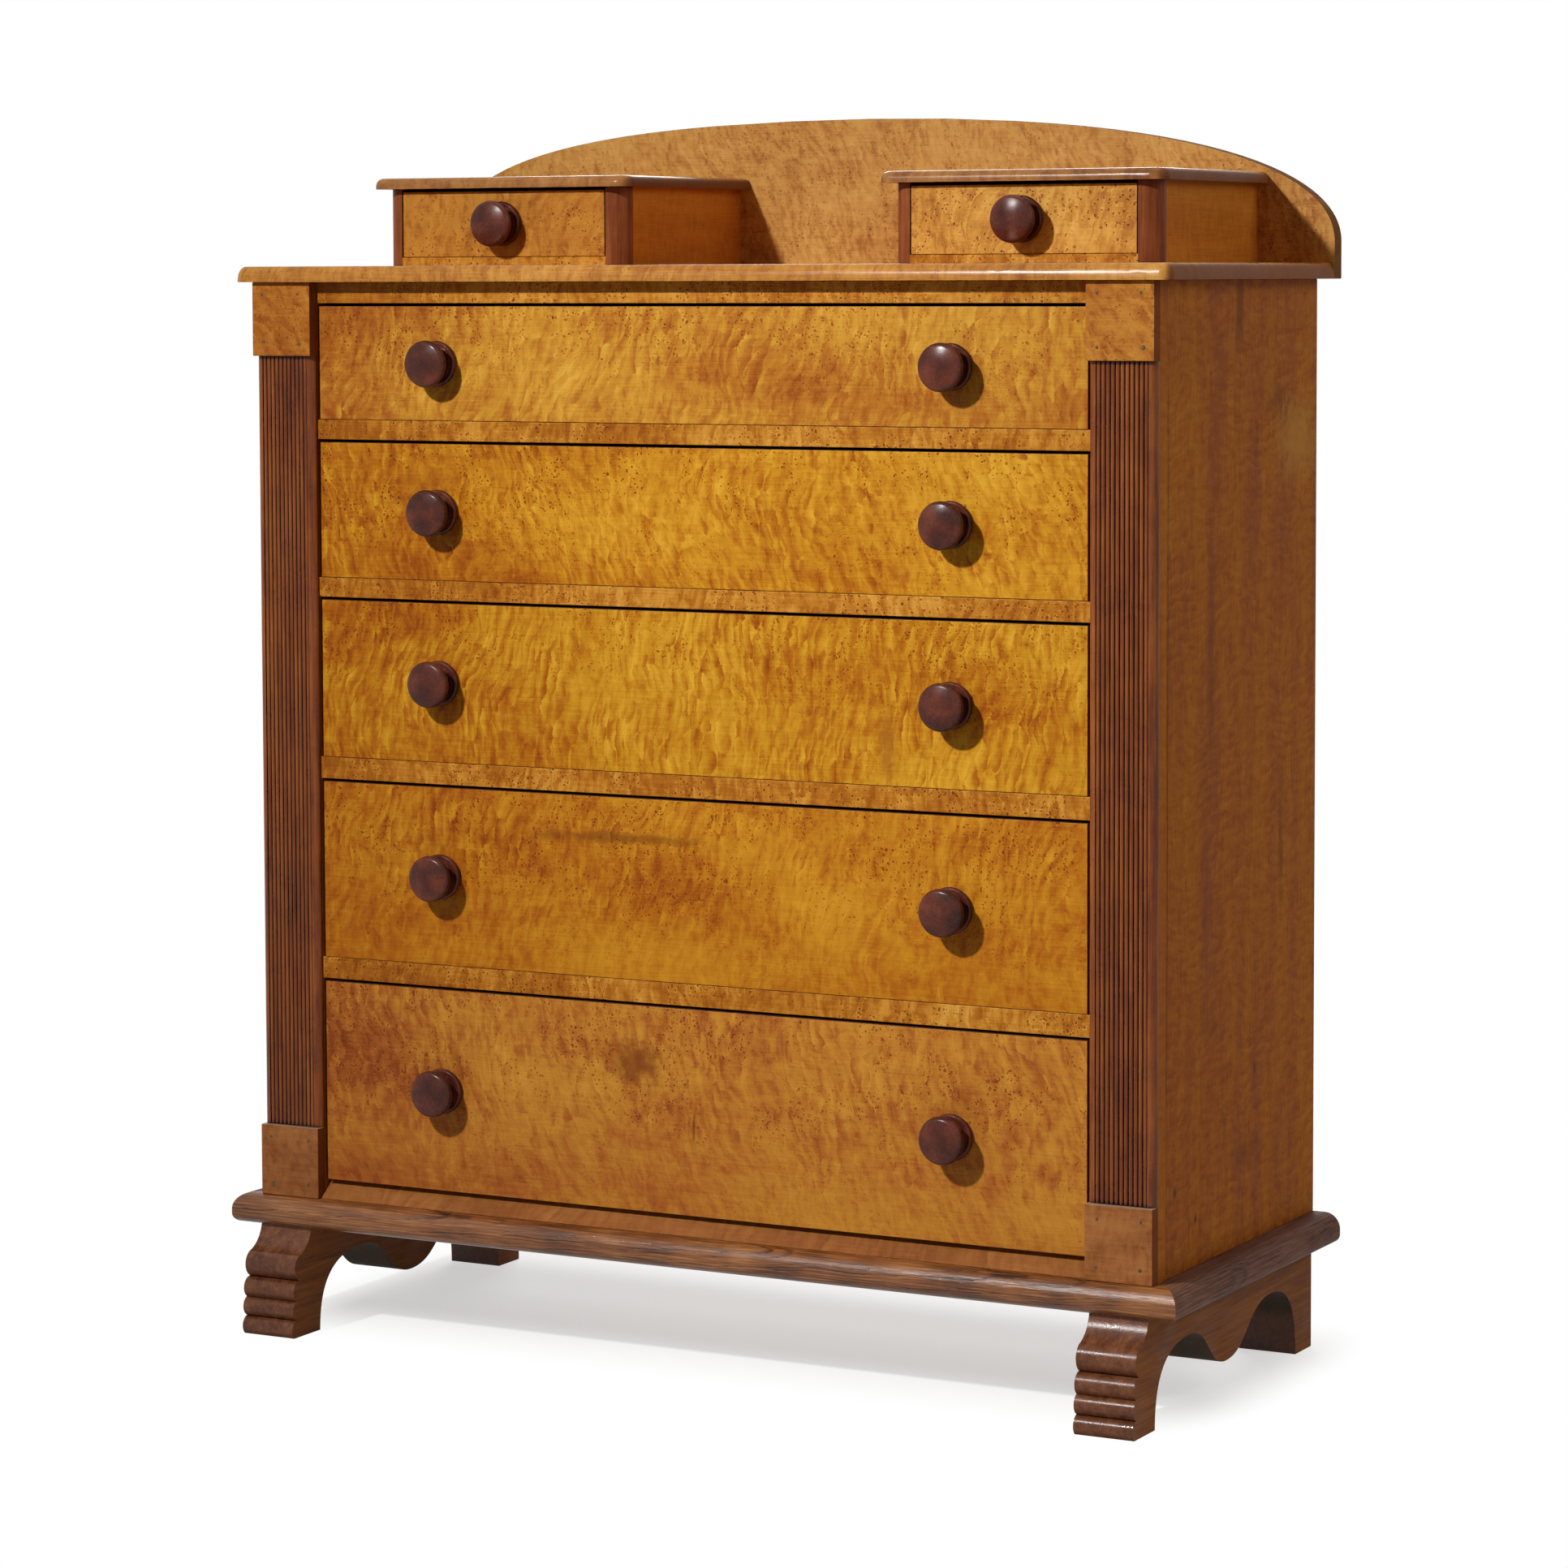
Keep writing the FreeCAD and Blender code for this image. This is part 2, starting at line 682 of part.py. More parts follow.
make_frame()
make_runners()
make_pilasters()
make_top()
make_deck_boxes()
make_base_moulding()
make_bracket()
make_case_drawers()
make_deck_drawers()

os.makedirs("parts", exist_ok=True)
for name, piece in pieces.items():
    piece.exportStep(f"parts/{name}.step")
    print(name, len(piece.Solids), "solids", round(piece.Volume), "mm3", piece.isValid())
print(len(pieces), "pieces")
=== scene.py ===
# %% [markdown]
# # A maple chest of drawers, from solid model to portrait
# The chest is a piece of American country furniture of about 1830: five graduated drawers in bird's-eye
# maple between reeded pilasters, an arched backboard, two little deck boxes and lobed bracket feet.
# Its boards come ready made from the solid model, one object a board. What is left to do in Blender is
# the look: the figure of the wood, the old shellac, the grime and painted shade in the grooves and the rubbed
# edges.

# %% Load the boards
import math
import random

import bmesh
import bpy
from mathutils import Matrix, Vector


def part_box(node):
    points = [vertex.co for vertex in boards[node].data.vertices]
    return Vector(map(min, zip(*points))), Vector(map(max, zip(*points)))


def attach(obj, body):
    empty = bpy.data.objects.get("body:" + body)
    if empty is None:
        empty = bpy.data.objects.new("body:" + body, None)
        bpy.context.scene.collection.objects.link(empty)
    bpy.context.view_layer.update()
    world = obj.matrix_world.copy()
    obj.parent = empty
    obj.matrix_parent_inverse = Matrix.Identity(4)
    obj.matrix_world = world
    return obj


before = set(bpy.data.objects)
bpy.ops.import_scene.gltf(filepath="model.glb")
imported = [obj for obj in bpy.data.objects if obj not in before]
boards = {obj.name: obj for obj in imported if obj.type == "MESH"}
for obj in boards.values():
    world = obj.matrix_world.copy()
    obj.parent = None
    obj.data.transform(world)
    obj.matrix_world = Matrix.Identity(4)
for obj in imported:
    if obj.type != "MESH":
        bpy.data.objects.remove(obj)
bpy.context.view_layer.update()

# %% [markdown]
# ## The camera
# The photograph was taken from the right of the chest, at about the height of its top, with a long lens:
# upright lines stay nearly parallel. The place, the turn and the lens below were fitted to points measured
# in the photograph. A small downward shift frames the chest without tipping the camera further.

# %% Set up the camera
CAMERA_PLACE = (2.3954, -4.4939, 1.1549)  # metres
CAMERA_TURN = (85.945, 0.188, 27.933)     # degrees
CHEST_MIDDLE = Vector((0, 0, 0.65))
scene = bpy.context.scene
camera_data = bpy.data.cameras.new("portrait_camera")
camera_data.sensor_width = 36             # millimetres
camera_data.lens = 108.68                 # millimetres
camera_data.shift_y = -0.11               # part of the picture's width
camera = bpy.data.objects.new("portrait_camera", camera_data)
camera.location = CAMERA_PLACE
camera.rotation_euler = [math.radians(angle) for angle in CAMERA_TURN]
scene.collection.objects.link(camera)
scene.camera = camera
scene.view_settings.view_transform = "Standard"
print("camera", round((camera.location - CHEST_MIDDLE).length, 2), "m from the chest")

# %% [markdown]
# ## Small tools
# Every finish below is a tree of shader nodes. One function feeds a node's inputs with values and links, and
# another adds a node with its settings, so that a finish reads from top to bottom like a recipe. A third
# turns the hex colours that a paint chart gives into the linear numbers that Blender mixes. A fourth turns
# the size of a pattern in millimetres into the scale that a texture wants, as the boards are in metres.

# %% Node, colour and scale helpers
def feed(tree, node, inputs):
    """Sets inputs to values, to outputs of other nodes, or to nodes, which stand for their first output."""
    for name, value in inputs.items():
        if isinstance(value, bpy.types.Node):
            value = value.outputs[0]
        if isinstance(value, bpy.types.NodeSocket):
            tree.links.new(value, node.inputs[name])
        else:
            node.inputs[name].default_value = value


def add(tree, kind, settings=None, inputs=None):
    """Adds a node: kind "TexNoise" is Blender's ShaderNodeTexNoise. Settings are the node's own choices."""
    node = tree.nodes.new("ShaderNode" + kind)
    for name, value in (settings or {}).items():
        if name != "stops":
            setattr(node, name, value)
            continue
        while len(node.color_ramp.elements) < len(value):
            node.color_ramp.elements.new(1)
        for element, (position, colour) in zip(node.color_ramp.elements, value):
            element.position = position
            element.color = colour
    feed(tree, node, inputs or {})
    return node


def linear(hex_colour):
    """The linear colour of a hex value, by the sRGB standard."""
    channels = [int(hex_colour[start:start + 2], 16) / 255 for start in (1, 3, 5)]
    return tuple(c / 12.92 if c <= 0.04045 else ((c + 0.055) / 1.055) ** 2.4 for c in channels) + (1.0,)


def per(millimetres):
    """How often a pattern of that size repeats in a metre."""
    return 1000 / millimetres


print("amber shellac in linear numbers", [round(c, 3) for c in linear("#C18630")])

# %% [markdown]
# ## The studio
# The photograph has a white ground and one fairly small lamp, high on the left in front: the knobs throw
# short shadows down to the right, and the right-hand side of the chest lies in open shade. The world gives
# a low, even fill. Rays from the camera, and rays mirrored by the polish, see it as plain white.

# %% World
def looked_at(tree):
    """Gives 1 for rays that see a thing, straight or mirrored, and 0 for light on its way."""
    rays = add(tree, "LightPath")
    straight = add(tree, "Math", {"operation": "MAXIMUM"},
                   {0: rays.outputs["Is Camera Ray"], 1: rays.outputs["Is Transmission Ray"]})
    return add(tree, "Math", {"operation": "MAXIMUM"}, {0: straight, 1: rays.outputs["Is Glossy Ray"]})


world = bpy.data.worlds.new("white_studio")
scene.world = world
world.use_nodes = True
tree = world.node_tree
tree.nodes.clear()
fill = add(tree, "Background", inputs={"Color": linear("#FFDCC8"), "Strength": 0.11})
white = add(tree, "Background", inputs={"Color": linear("#FFFFFF"), "Strength": 1.0})
both = add(tree, "MixShader", inputs={0: looked_at(tree), 1: fill, 2: white})
add(tree, "OutputWorld", inputs={"Surface": both})
print("world fill", fill.inputs["Strength"].default_value)

# %% [markdown]
# The floor is a pale sheet. Near the chest it shows the lamp's shadow. Away from it the sheet fades to the
# same white as the ground, so that no edge or horizon shows. The fade is worked out from how far a point
# lies outside a rectangle under the chest.

# %% Floor
SOFT_STEP = {"interpolation_type": "SMOOTHSTEP"}
FLOOR_HALF = 6                  # metres from the sheet's middle to its edges
HAIR = 0.0004                   # metres that it lies under the feet
NOUGHT = (0, 0, 0)
SHADOW_MIDDLE = (0, 0.06, 0)    # of the rectangle that keeps its shadow
SHADOW_HALF = (0.505, 0.09, 0)  # half its width and half its depth
SHADOW_FADE = (0.1, 0.21, 1)    # how far out from it the sheet turns white
SHEET_LIFT = 0.56               # light of its own, as a retoucher would give it
floor_mesh = bpy.data.meshes.new("studio_floor")
sheet = bmesh.new()
bmesh.ops.create_grid(sheet, x_segments=1, y_segments=1, size=FLOOR_HALF)
sheet.to_mesh(floor_mesh)
sheet.free()
floor = bpy.data.objects.new("studio_floor", floor_mesh)
floor.location.z = -HAIR
scene.collection.objects.link(floor)

paper = bpy.data.materials.new("white_paper_sheet")
paper.use_nodes = True
tree = paper.node_tree
tree.nodes.clear()
beyond = add(tree, "TexCoord").outputs["Object"]
for operation, amount in (("SUBTRACT", SHADOW_MIDDLE), ("ABSOLUTE", NOUGHT), ("SUBTRACT", SHADOW_HALF),
                          ("MAXIMUM", NOUGHT), ("DIVIDE", SHADOW_FADE)):
    beyond = add(tree, "VectorMath", {"operation": operation}, {0: beyond, 1: amount})
reach = add(tree, "VectorMath", {"operation": "LENGTH"}, {0: beyond})
fade = add(tree, "MapRange", SOFT_STEP, {"Value": reach.outputs["Value"]})
seen = looked_at(tree)
lift = add(tree, "Math", {"operation": "MULTIPLY"}, {0: seen, 1: SHEET_LIFT})
sheet_lit = add(tree, "BsdfDiffuse", inputs={"Color": linear("#CCCCCC")})
sheet_lift = add(tree, "Emission", inputs={"Strength": lift})
shaded = add(tree, "AddShader", inputs={0: sheet_lit, 1: sheet_lift})
ground = add(tree, "Emission", inputs={"Strength": 1.0})
away = add(tree, "Math", {"operation": "MULTIPLY"}, {0: fade, 1: seen})
surface = add(tree, "MixShader", inputs={0: away, 1: shaded, 2: ground})
add(tree, "OutputMaterial", inputs={"Surface": surface})
floor_mesh.materials.append(paper)
print("floor", floor.dimensions[:])

# %% [markdown]
# A lamp in a small square box gives the knobs their crisp shadows. A broad dim one on the right lifts the
# shaded side a little, another overhead puts a soft light on everything that faces up, and one behind does
# the same for the back and the left side, which only other views show.

# %% Lamps
def softbox(name, place, target, size, watts, spread=180):
    """A square lamp at a place, turned to a target. A narrow spread lights the middle of its beam most."""
    lamp = bpy.data.lights.new(name, "AREA")
    lamp.size = size
    lamp.energy = watts
    lamp.spread = math.radians(spread)
    holder = bpy.data.objects.new(name, lamp)
    holder.location = place
    holder.rotation_euler = (Vector(target) - Vector(place)).to_track_quat("-Z", "Y").to_euler()
    scene.collection.objects.link(holder)
    return holder


lamps = [
    softbox("key_lamp", (-0.79, -2.77, 2.63), (0.35, -0.2, 0.62), size=0.16, watts=17.8, spread=75),
    softbox("side_lamp", (3.2, 0.4, 2.5), (0.5, 0, 0.6), size=1.5, watts=22.5),
    softbox("overhead_lamp", (0.2, 0.3, 3.5), (0, 0.1, 0.6), size=1.4, watts=6),
    softbox("back_lamp", (-1.6, 3.4, 2.3), (0, 0.2, 0.8), size=1.6, watts=46),
]
print([lamp.name for lamp in lamps])

# %% [markdown]
# ## What all finishes share
# A finish starts with the place of each point in the chest, in metres. No board has been moved, so its
# object coordinates are that place, and a pattern keeps its true size on every board. The finish ends at
# Blender's all-purpose shader, the Principled BSDF, which takes a colour, a roughness and small bumps.
# Between them lie noises, stretched along the grain, that are added up into one number. A colour ramp
# turns that number into a tone of the wood.

# %% Start, patterns and end of a finish
REFRACTION = 1.5                        # of shellac, and near enough of bare wood
SHARE, UNDER, OVER, MIXED = 0, 6, 7, 2  # the inputs and the output of a mix of colours


def start_finish(name):
    """A new material: itself, its tree of nodes, and the place of each point."""
    finish = bpy.data.materials.new(name)
    finish.use_nodes = True
    return finish, finish.node_tree, add(finish.node_tree, "TexCoord").outputs["Object"]


def stretched_noise(tree, place, sizes, detail, roughness=0.5):
    """Noise with blotches of these sizes along X, Y and Z, in millimetres."""
    stretched = add(tree, "Mapping", inputs={"Vector": place, "Scale": [per(size) for size in sizes]})
    return add(tree, "TexNoise",
               inputs={"Vector": stretched, "Scale": 1.0, "Detail": detail, "Roughness": roughness})


def add_up(tree, start, *parts):
    """Adds parts, each a pattern and its share, to a start."""
    for part, share in parts:
        start = add(tree, "Math", {"operation": "MULTIPLY_ADD"}, {0: part, 1: share, 2: start})
    return start


def balance(parts):
    """The start that keeps a sum round a half: noise is a half on the whole."""
    return 0.5 - sum(share for noise, share in parts) / 2


def stops(positions, tones):
    """The stops of a colour ramp, from hex colours."""
    return [(position, linear(tone)) for position, tone in zip(positions, tones)]


def end_finish(tree, colour, roughness, shine, height, relief, depth):
    """Leads all into the shader. Relief is how strong the bumps are, depth how high in metres."""
    bumps = add(tree, "Bump", inputs={"Strength": relief, "Distance": depth, "Height": height})
    feed(tree, tree.nodes["Principled BSDF"], {
        "Base Color": colour, "Roughness": roughness, "Normal": bumps, "IOR": REFRACTION,
        "Specular IOR Level": shine})


print("light bends by", REFRACTION, "in every finish")

# %% [markdown]
# ## Bird's-eye maple
# Hard maple sometimes grows with small dimples in its rings. Sawn on the flat, each dimple is an eye of
# two or three millimetres, and the fibres that swerve round the eyes catch the light in flames across the
# board. Old shellac turns it all to amber. Under shellac the surface is smooth, so the figure is a matter
# of colour, not of bumps.
#
# The flames could be painted, or made of stretched noise, but noise has no sides, and a flame has: it is
# bright on one flank and dark on the other, as a ripple is. So the flames are the cells of a stretched and
# swayed Voronoi pattern, each shaded from side to side by where a point lies in its cell.

# %% Maple: flames
SWAY = (0.06, 0, 0.03)       # metres, slowly along the board
FLUTTER = (0.009, 0, 0.022)  # metres, from flame to flame
CONTRAST = 0.4               # between one flame and the next


def maple_flames(tree, board, flutter, lean, flame):
    """Facets of flame (width, height) that sway, lean and break up. Gives them, and the swayed board."""
    sway = add(tree, "TexNoise", inputs={"Vector": board, "Scale": per(120), "Detail": 1.0})
    swayed = board
    for noise, amount in ((sway, SWAY), (flutter, FLUTTER)):
        swayed = add(tree, "VectorMath", {"operation": "MULTIPLY_ADD"},
                     {0: noise.outputs["Color"], 1: amount, 2: swayed})
    leaning = add(tree, "Mapping", inputs={"Vector": swayed, "Rotation": (0, math.radians(lean), 0)})
    streak = add(tree, "Mapping",
                 inputs={"Vector": leaning, "Scale": (per(flame[0]), per(40), per(flame[1]))})
    facet = add(tree, "TexVoronoi", {"feature": "SMOOTH_F1"},
                {"Vector": streak, "Scale": 1.0, "Smoothness": 0.34})
    within = add(tree, "VectorMath", {"operation": "SUBTRACT"}, {0: streak, 1: facet.outputs["Position"]})
    within = add(tree, "SeparateXYZ", inputs={0: within})
    chance = add(tree, "SeparateXYZ", inputs={0: facet.outputs["Color"]})
    # Brightness climbs across a facet, one way or the other by chance, and some facets are paler than others
    slope = add_up(tree, within.outputs["X"], (within.outputs["Z"], -0.35))
    side = add(tree, "Math", {"operation": "GREATER_THAN"}, {0: chance.outputs["Y"], 1: 0.4})
    side = add(tree, "MapRange", inputs={"Value": side, "To Min": -0.8, "To Max": 0.8})
    return add_up(tree, -CONTRAST / 2, (slope, side), (chance.outputs["X"], CONTRAST)), leaning


print("flames sway by", SWAY[0] * 1000, "mm")

# %% [markdown]
# ### Eyes
# The eyes are the cells of a much finer Voronoi pattern. A colour ramp turns the distance from a cell's
# middle into a dark ring, noise breaks the rings open, and a slower noise gathers them in drifts. Through
# the board they run as long cones, so the cells are five times as deep as they are wide. On some boards
# eyes and flames die away towards the bottom, which one more function takes care of.

# %% Maple: eyes
EYE_CELL = (4.8, 24, 4.8)             # millimetres
EYE_STRAY = (0.0055, 0.0055, 0.0055)  # metres
EYE_RING = ((0.0, 0.42), (0.12, 0.36), (0.23, 0.14), (0.34, 0.62), (0.48, 0.5))  # distance, brightness


def amount_at(tree, height, rise, least):
    """How much of a figure there is at a height: the least under the rise, and all of it over it."""
    return add(tree, "MapRange", SOFT_STEP, {
        "Value": height, "From Min": rise[0], "From Max": rise[1], "To Min": least, "To Max": 1.0})


def maple_eyes(tree, board, eyes, risen):
    """Dark rings, open on one side, and how much of them shows."""
    jitter = add(tree, "TexNoise", inputs={"Vector": board, "Scale": per(4), "Detail": 2.0})
    jittered = add(tree, "VectorMath", {"operation": "MULTIPLY_ADD"},
                   {0: jitter.outputs["Color"], 1: EYE_STRAY, 2: board})
    cells = add(tree, "Mapping", inputs={"Vector": jittered, "Scale": [per(size) for size in EYE_CELL]})
    eye = add(tree, "TexVoronoi", inputs={"Vector": cells, "Scale": 1.0})
    greys = [(distance, (grey, grey, grey, 1)) for distance, grey in EYE_RING]
    ring = add(tree, "ValToRGB", {"stops": greys}, {"Fac": eye.outputs["Distance"]})
    ring = add(tree, "Math", {"operation": "SUBTRACT"}, {0: ring, 1: 0.5})
    drifts = add(tree, "TexNoise", inputs={"Vector": board, "Scale": per(45), "Detail": 3.0})
    crowd = add(tree, "MapRange", inputs={
        "Value": drifts, "From Min": 0.44, "From Max": 0.55, "To Min": 0.1 * eyes, "To Max": eyes})
    broken = add(tree, "MapRange", inputs={"Value": jitter, "From Min": 0.34, "From Max": 0.56})
    for limit in (risen, broken):
        crowd = add(tree, "Math", {"operation": "MULTIPLY"}, {0: crowd, 1: limit})
    return ring, crowd


print("eyes in cells of", EYE_CELL[0], "mm")

# %% [markdown]
# ### Marks, stained and shaded ends, and dust
# Knots, burns and stains belong to one board. Each is a round or long spot whose edge the flutter noise
# makes ragged. Sawn ends drank up more stain than the faces, and no polish lies on them. Their darker colour
# is partly painted shade too, and on the drawer fronts the darkened top edges paint the shadow in the gaps.
# Dust lies on the ledges. Which way a face looks, its normal, tells the ends and the ledges from the rest.

# %% Maple: marks, stained and shaded ends, and dust
RAGGED = 1.4  # how far out of round a mark is, in its own size


def facing(tree):
    """Which way each face looks, parted into X, Y and Z."""
    return add(tree, "SeparateXYZ", inputs={0: add(tree, "NewGeometry").outputs["Normal"]})


def maple_marks(tree, wood, place, flutter, marks, on_side):
    """Lays marks on wood: place across and up, width and height, in millimetres, then colour and depth."""
    for across, z, width, tall, colour, depth in marks:
        centre = (0, -across / width, -z / tall) if on_side else (-across / width, 0, -z / tall)
        spread = (0, per(width), per(tall)) if on_side else (per(width), 0, per(tall))
        near = add(tree, "Mapping", inputs={"Vector": place, "Location": centre, "Scale": spread})
        ragged = add(tree, "VectorMath", {"operation": "MULTIPLY_ADD"},
                     {0: flutter.outputs["Color"], 1: [RAGGED] * 3, 2: near})
        ragged = add(tree, "VectorMath", {"operation": "SUBTRACT"}, {0: ragged, 1: [RAGGED / 2] * 3})
        reach = add(tree, "VectorMath", {"operation": "LENGTH"}, {0: ragged})
        amount = add(tree, "MapRange", SOFT_STEP, {
            "Value": reach.outputs["Value"], "From Min": 0.2, "From Max": 1.0, "To Min": depth, "To Max": 0.0})
        wood = add(tree, "Mix", {"data_type": "RGBA"},
                   {SHARE: amount, UNDER: wood, OVER: linear(colour)}).outputs[MIXED]
    return wood


def stained_and_shaded_ends(tree, wood, sheen, colour, edges):
    """Darkens and dulls the faces that look sideways, and with edges those that look up or down too: a darker
    stain on the ends, and painted shade.
    """
    look = facing(tree)
    sideways = add(tree, "Math", {"operation": "ABSOLUTE"}, {0: look.outputs["X"]})
    if edges:
        upright = add(tree, "Math", {"operation": "ABSOLUTE"}, {0: look.outputs["Z"]})
        sideways = add(tree, "Math", {"operation": "MAXIMUM"}, {0: sideways, 1: upright})
    # Painted shade, along with the darker stain of the ends
    stain_and_shade = add(tree, "MapRange", SOFT_STEP, {
        "Value": sideways, "From Min": 0.35, "From Max": 0.9, "To Min": 0.0, "To Max": 0.85})
    wood = add(tree, "Mix", {"data_type": "RGBA"},
               {SHARE: stain_and_shade, UNDER: wood, OVER: linear(colour)}).outputs[MIXED]
    return wood, add_up(tree, sheen, (stain_and_shade, 0.45))


def dusty_ledges(tree, wood, dust):
    """Lays dust on the faces that look up."""
    ledge = add(tree, "MapRange", inputs={
        "Value": facing(tree).outputs["Z"], "From Min": 0.6, "From Max": 0.95, "To Min": 0.0, "To Max": dust})
    return add(tree, "Mix", {"data_type": "RGBA"},
               {SHARE: ledge, UNDER: wood, OVER: linear("#A2968A")}).outputs[MIXED]


print("marks are ragged by", RAGGED / 2, "of their size")

# %% [markdown]
# ### The whole board
# Flames, eyes, blisters, clouds of deeper wood and fine lines along the grain are added up, and a ramp of
# six tones turns the sum into wood. The fine lines are drawn coarser than life, so that they show. Each
# board's own tones and amounts come in from outside, so one function serves for all the maple.

# %% Finish: bird's-eye maple
AS_FRONT = (0, 0, 0)      # grain from left to right, seen from the front
AS_STILE = (0, 90, 0)     # grain upright, seen from the front
AS_SIDE = (90, 0, 90)     # grain upright, seen from the side
AS_BOX_END = (0, 0, -90)  # grain from front to back, seen from the side
AS_TOP = (90, 0, 0)       # grain from left to right, seen from above
PAINTED_LEFT_SHADE_SPAN = (-0.47, -0.1)  # metres over which the painted shade at the left end runs out
DEPTHS = "#74360F"        # the deepest tone of all maple
MAPLE_STOPS = (0.06, 0.26, 0.42, 0.5, 0.58, 0.74)


def birdseye_maple(name, tones, turn=AS_FRONT, shift=(0, 0, 0), lean=0, flame=(9, 28), curl=1.0, mottle=1.0,
                   flecks=1.0, eyes=1.0, clouds=1.0, grain=0.22, rise=(-1, 0), eye_rise=(-1, 0),
                   left_shade=0.0, drift=(190, 90, 80), marks=(), flank=None, edges=False, dust=0.0,
                   gloss=0.38, shine=0.1):
    """Maple under amber shellac. Tones run from deep wood to pale; rise is where the figure sets in. The left
    end gets painted shade, and with flank the ends and edges get a darker stain and painted shade.
    """
    finish, tree, place = start_finish(name)
    spot = add(tree, "SeparateXYZ", inputs={0: place})
    board = add(tree, "Mapping", inputs={
        "Vector": place, "Location": shift, "Rotation": [math.radians(angle) for angle in turn]})

    # The patterns, and where they are strong
    flutter = add(tree, "TexNoise",
                  inputs={"Vector": board, "Scale": per(14), "Detail": 4.0, "Roughness": 0.62})
    flames, leaning = maple_flames(tree, board, flutter, lean, flame)
    risen = amount_at(tree, spot.outputs["Z"], rise, 0.3)
    ring, crowd = maple_eyes(tree, board, eyes, amount_at(tree, spot.outputs["Z"], eye_rise, 0.25))
    lively = add(tree, "TexNoise",
                 inputs={"Vector": board, "Scale": per(60), "Detail": 3.0, "Roughness": 0.6})
    strength = add(tree, "MapRange", inputs={
        "Value": lively, "From Min": 0.38, "From Max": 0.62, "To Min": 0.05 * curl, "To Max": 0.27 * curl})
    patchy = add(tree, "MapRange", inputs={"Value": lively, "From Min": 0.58, "From Max": 0.42})
    strength, patchy = [add(tree, "Math", {"operation": "MULTIPLY"}, {0: amount, 1: risen})
                        for amount in (strength, patchy)]
    blister = stretched_noise(tree, leaning, (9, 30, 17), 4.0, 0.6)
    smudge = add(tree, "MapRange", inputs={
        "Value": blister, "From Min": 0.25, "From Max": 0.5, "To Min": -0.17 * flecks, "To Max": 0.0})
    cloud = stretched_noise(tree, board, drift, 4.0, 0.6)
    lines = stretched_noise(tree, board, (45, 1.6, 1.6), 2.0, 0.7)
    # Painted shade: the figure turns to deeper tones towards the left end of a board, where less light falls
    painted_left_shade = add(tree, "MapRange", SOFT_STEP, {
        "Value": spot.outputs["X"], "From Min": PAINTED_LEFT_SHADE_SPAN[0], "From Max": PAINTED_LEFT_SHADE_SPAN[1], "To Min": -left_shade,
        "To Max": 0.0})

    # All of it together picks the tone
    noises = ((blister, 0.4 * mottle), (cloud, 0.5 * clouds), (lines, grain))
    figure = add_up(tree, balance(noises), (flames, strength), (smudge, patchy), (ring, crowd),
                    (painted_left_shade, 1.0), *noises)
    wood = add(tree, "ValToRGB", {"stops": stops(MAPLE_STOPS, (DEPTHS, *tones))}, {"Fac": figure})
    wood = maple_marks(tree, wood, place, flutter, marks, turn == AS_SIDE)

    # Shellac: a soft polish, uneven by a hair
    sheen = add(tree, "MapRange", inputs={
        "Value": cloud, "From Min": 0.3, "From Max": 0.7, "To Min": gloss - 0.05, "To Max": gloss + 0.07})
    if flank:
        wood, sheen = stained_and_shaded_ends(tree, wood, sheen, flank, edges)
    if dust:
        wood = dusty_ledges(tree, wood, dust)
    end_finish(tree, wood, sheen, shine, lines, relief=0.12, depth=0.0003)
    return finish


print("bird's-eye maple is ready, in", len(MAPLE_STOPS), "tones")

# %% [markdown]
# ### Drawer fronts
# Each front was sawn from its own plank, so each gets its own place in the pattern, and tones of its own:
# the upper three are the most golden, the lower two are redder. The flames stand upright on some and lean
# on others, and on the two lowest they die away towards the bottom. A knot on the lowest front and a few
# dark streaks are put where the real boards have them.

# %% Dress the drawer fronts
def dress(finish, *names):
    """Gives boards their finish."""
    for name in names:
        boards[name].data.materials.clear()
        boards[name].data.materials.append(finish)


# Colour of the fronts' ends and top edges: a darker stain and painted shade, which paints the shadow in the
# gaps
END_GRAIN_AND_SHADE = "#432A14"
# The fronts get painted shade towards their left ends
FRONT_LOOK = dict(curl=1.05, eyes=1.3, flecks=0.5, clouds=1.2, drift=(280, 90, 130), left_shade=0.11,
                  flank=END_GRAIN_AND_SHADE, edges=True)
FRONT_SHIFT = Vector((0.37, 0, 0.21))  # from one front's place in the pattern to the next
fronts = {
    1: dict(tones=("#9C5218", "#B87426", "#C4892C", "#D09733", "#E0AB42"), flame=(10, 26), lean=-10,
            eye_rise=(1.01, 1.11)),
    2: dict(tones=("#9C500E", "#BA7418", "#C6881E", "#D29626", "#E0A934"), flame=(9, 17), lean=18,
            eyes=1.45, eye_rise=(0.82, 0.94)),
    3: dict(tones=("#9C500E", "#B67016", "#C1851C", "#CD9324", "#DDA632"), flame=(8, 27), lean=-4,
            curl=1.35, eye_rise=(0.68, 0.79), marks=[(232, 680, 14, 60, "#9A5A18", 0.6)]),
    4: dict(tones=("#92460E", "#B26816", "#BC7A1B", "#C78720", "#D69828"), flame=(9, 23), lean=-10,
            rise=(0.40, 0.54), eye_rise=(0.42, 0.56), marks=[(-90, 564, 150, 9, "#7E4612", 0.7)]),
    5: dict(tones=("#92481C", "#B06828", "#BC7B2C", "#C68730", "#D4973A"), flame=(10, 24), lean=20,
            rise=(0.17, 0.32), eye_rise=(0.19, 0.34),
            marks=[(-68, 326, 42, 34, "#7A3A16", 0.8), (4, 262, 2.5, 24, "#5E2E12", 0.7)]),
}
for number, look in fronts.items():
    finish = birdseye_maple(f"birdseye_maple_front_{number}", shift=number * FRONT_SHIFT, **(FRONT_LOOK | look))
    dress(finish, f"drawer_{number}_front")
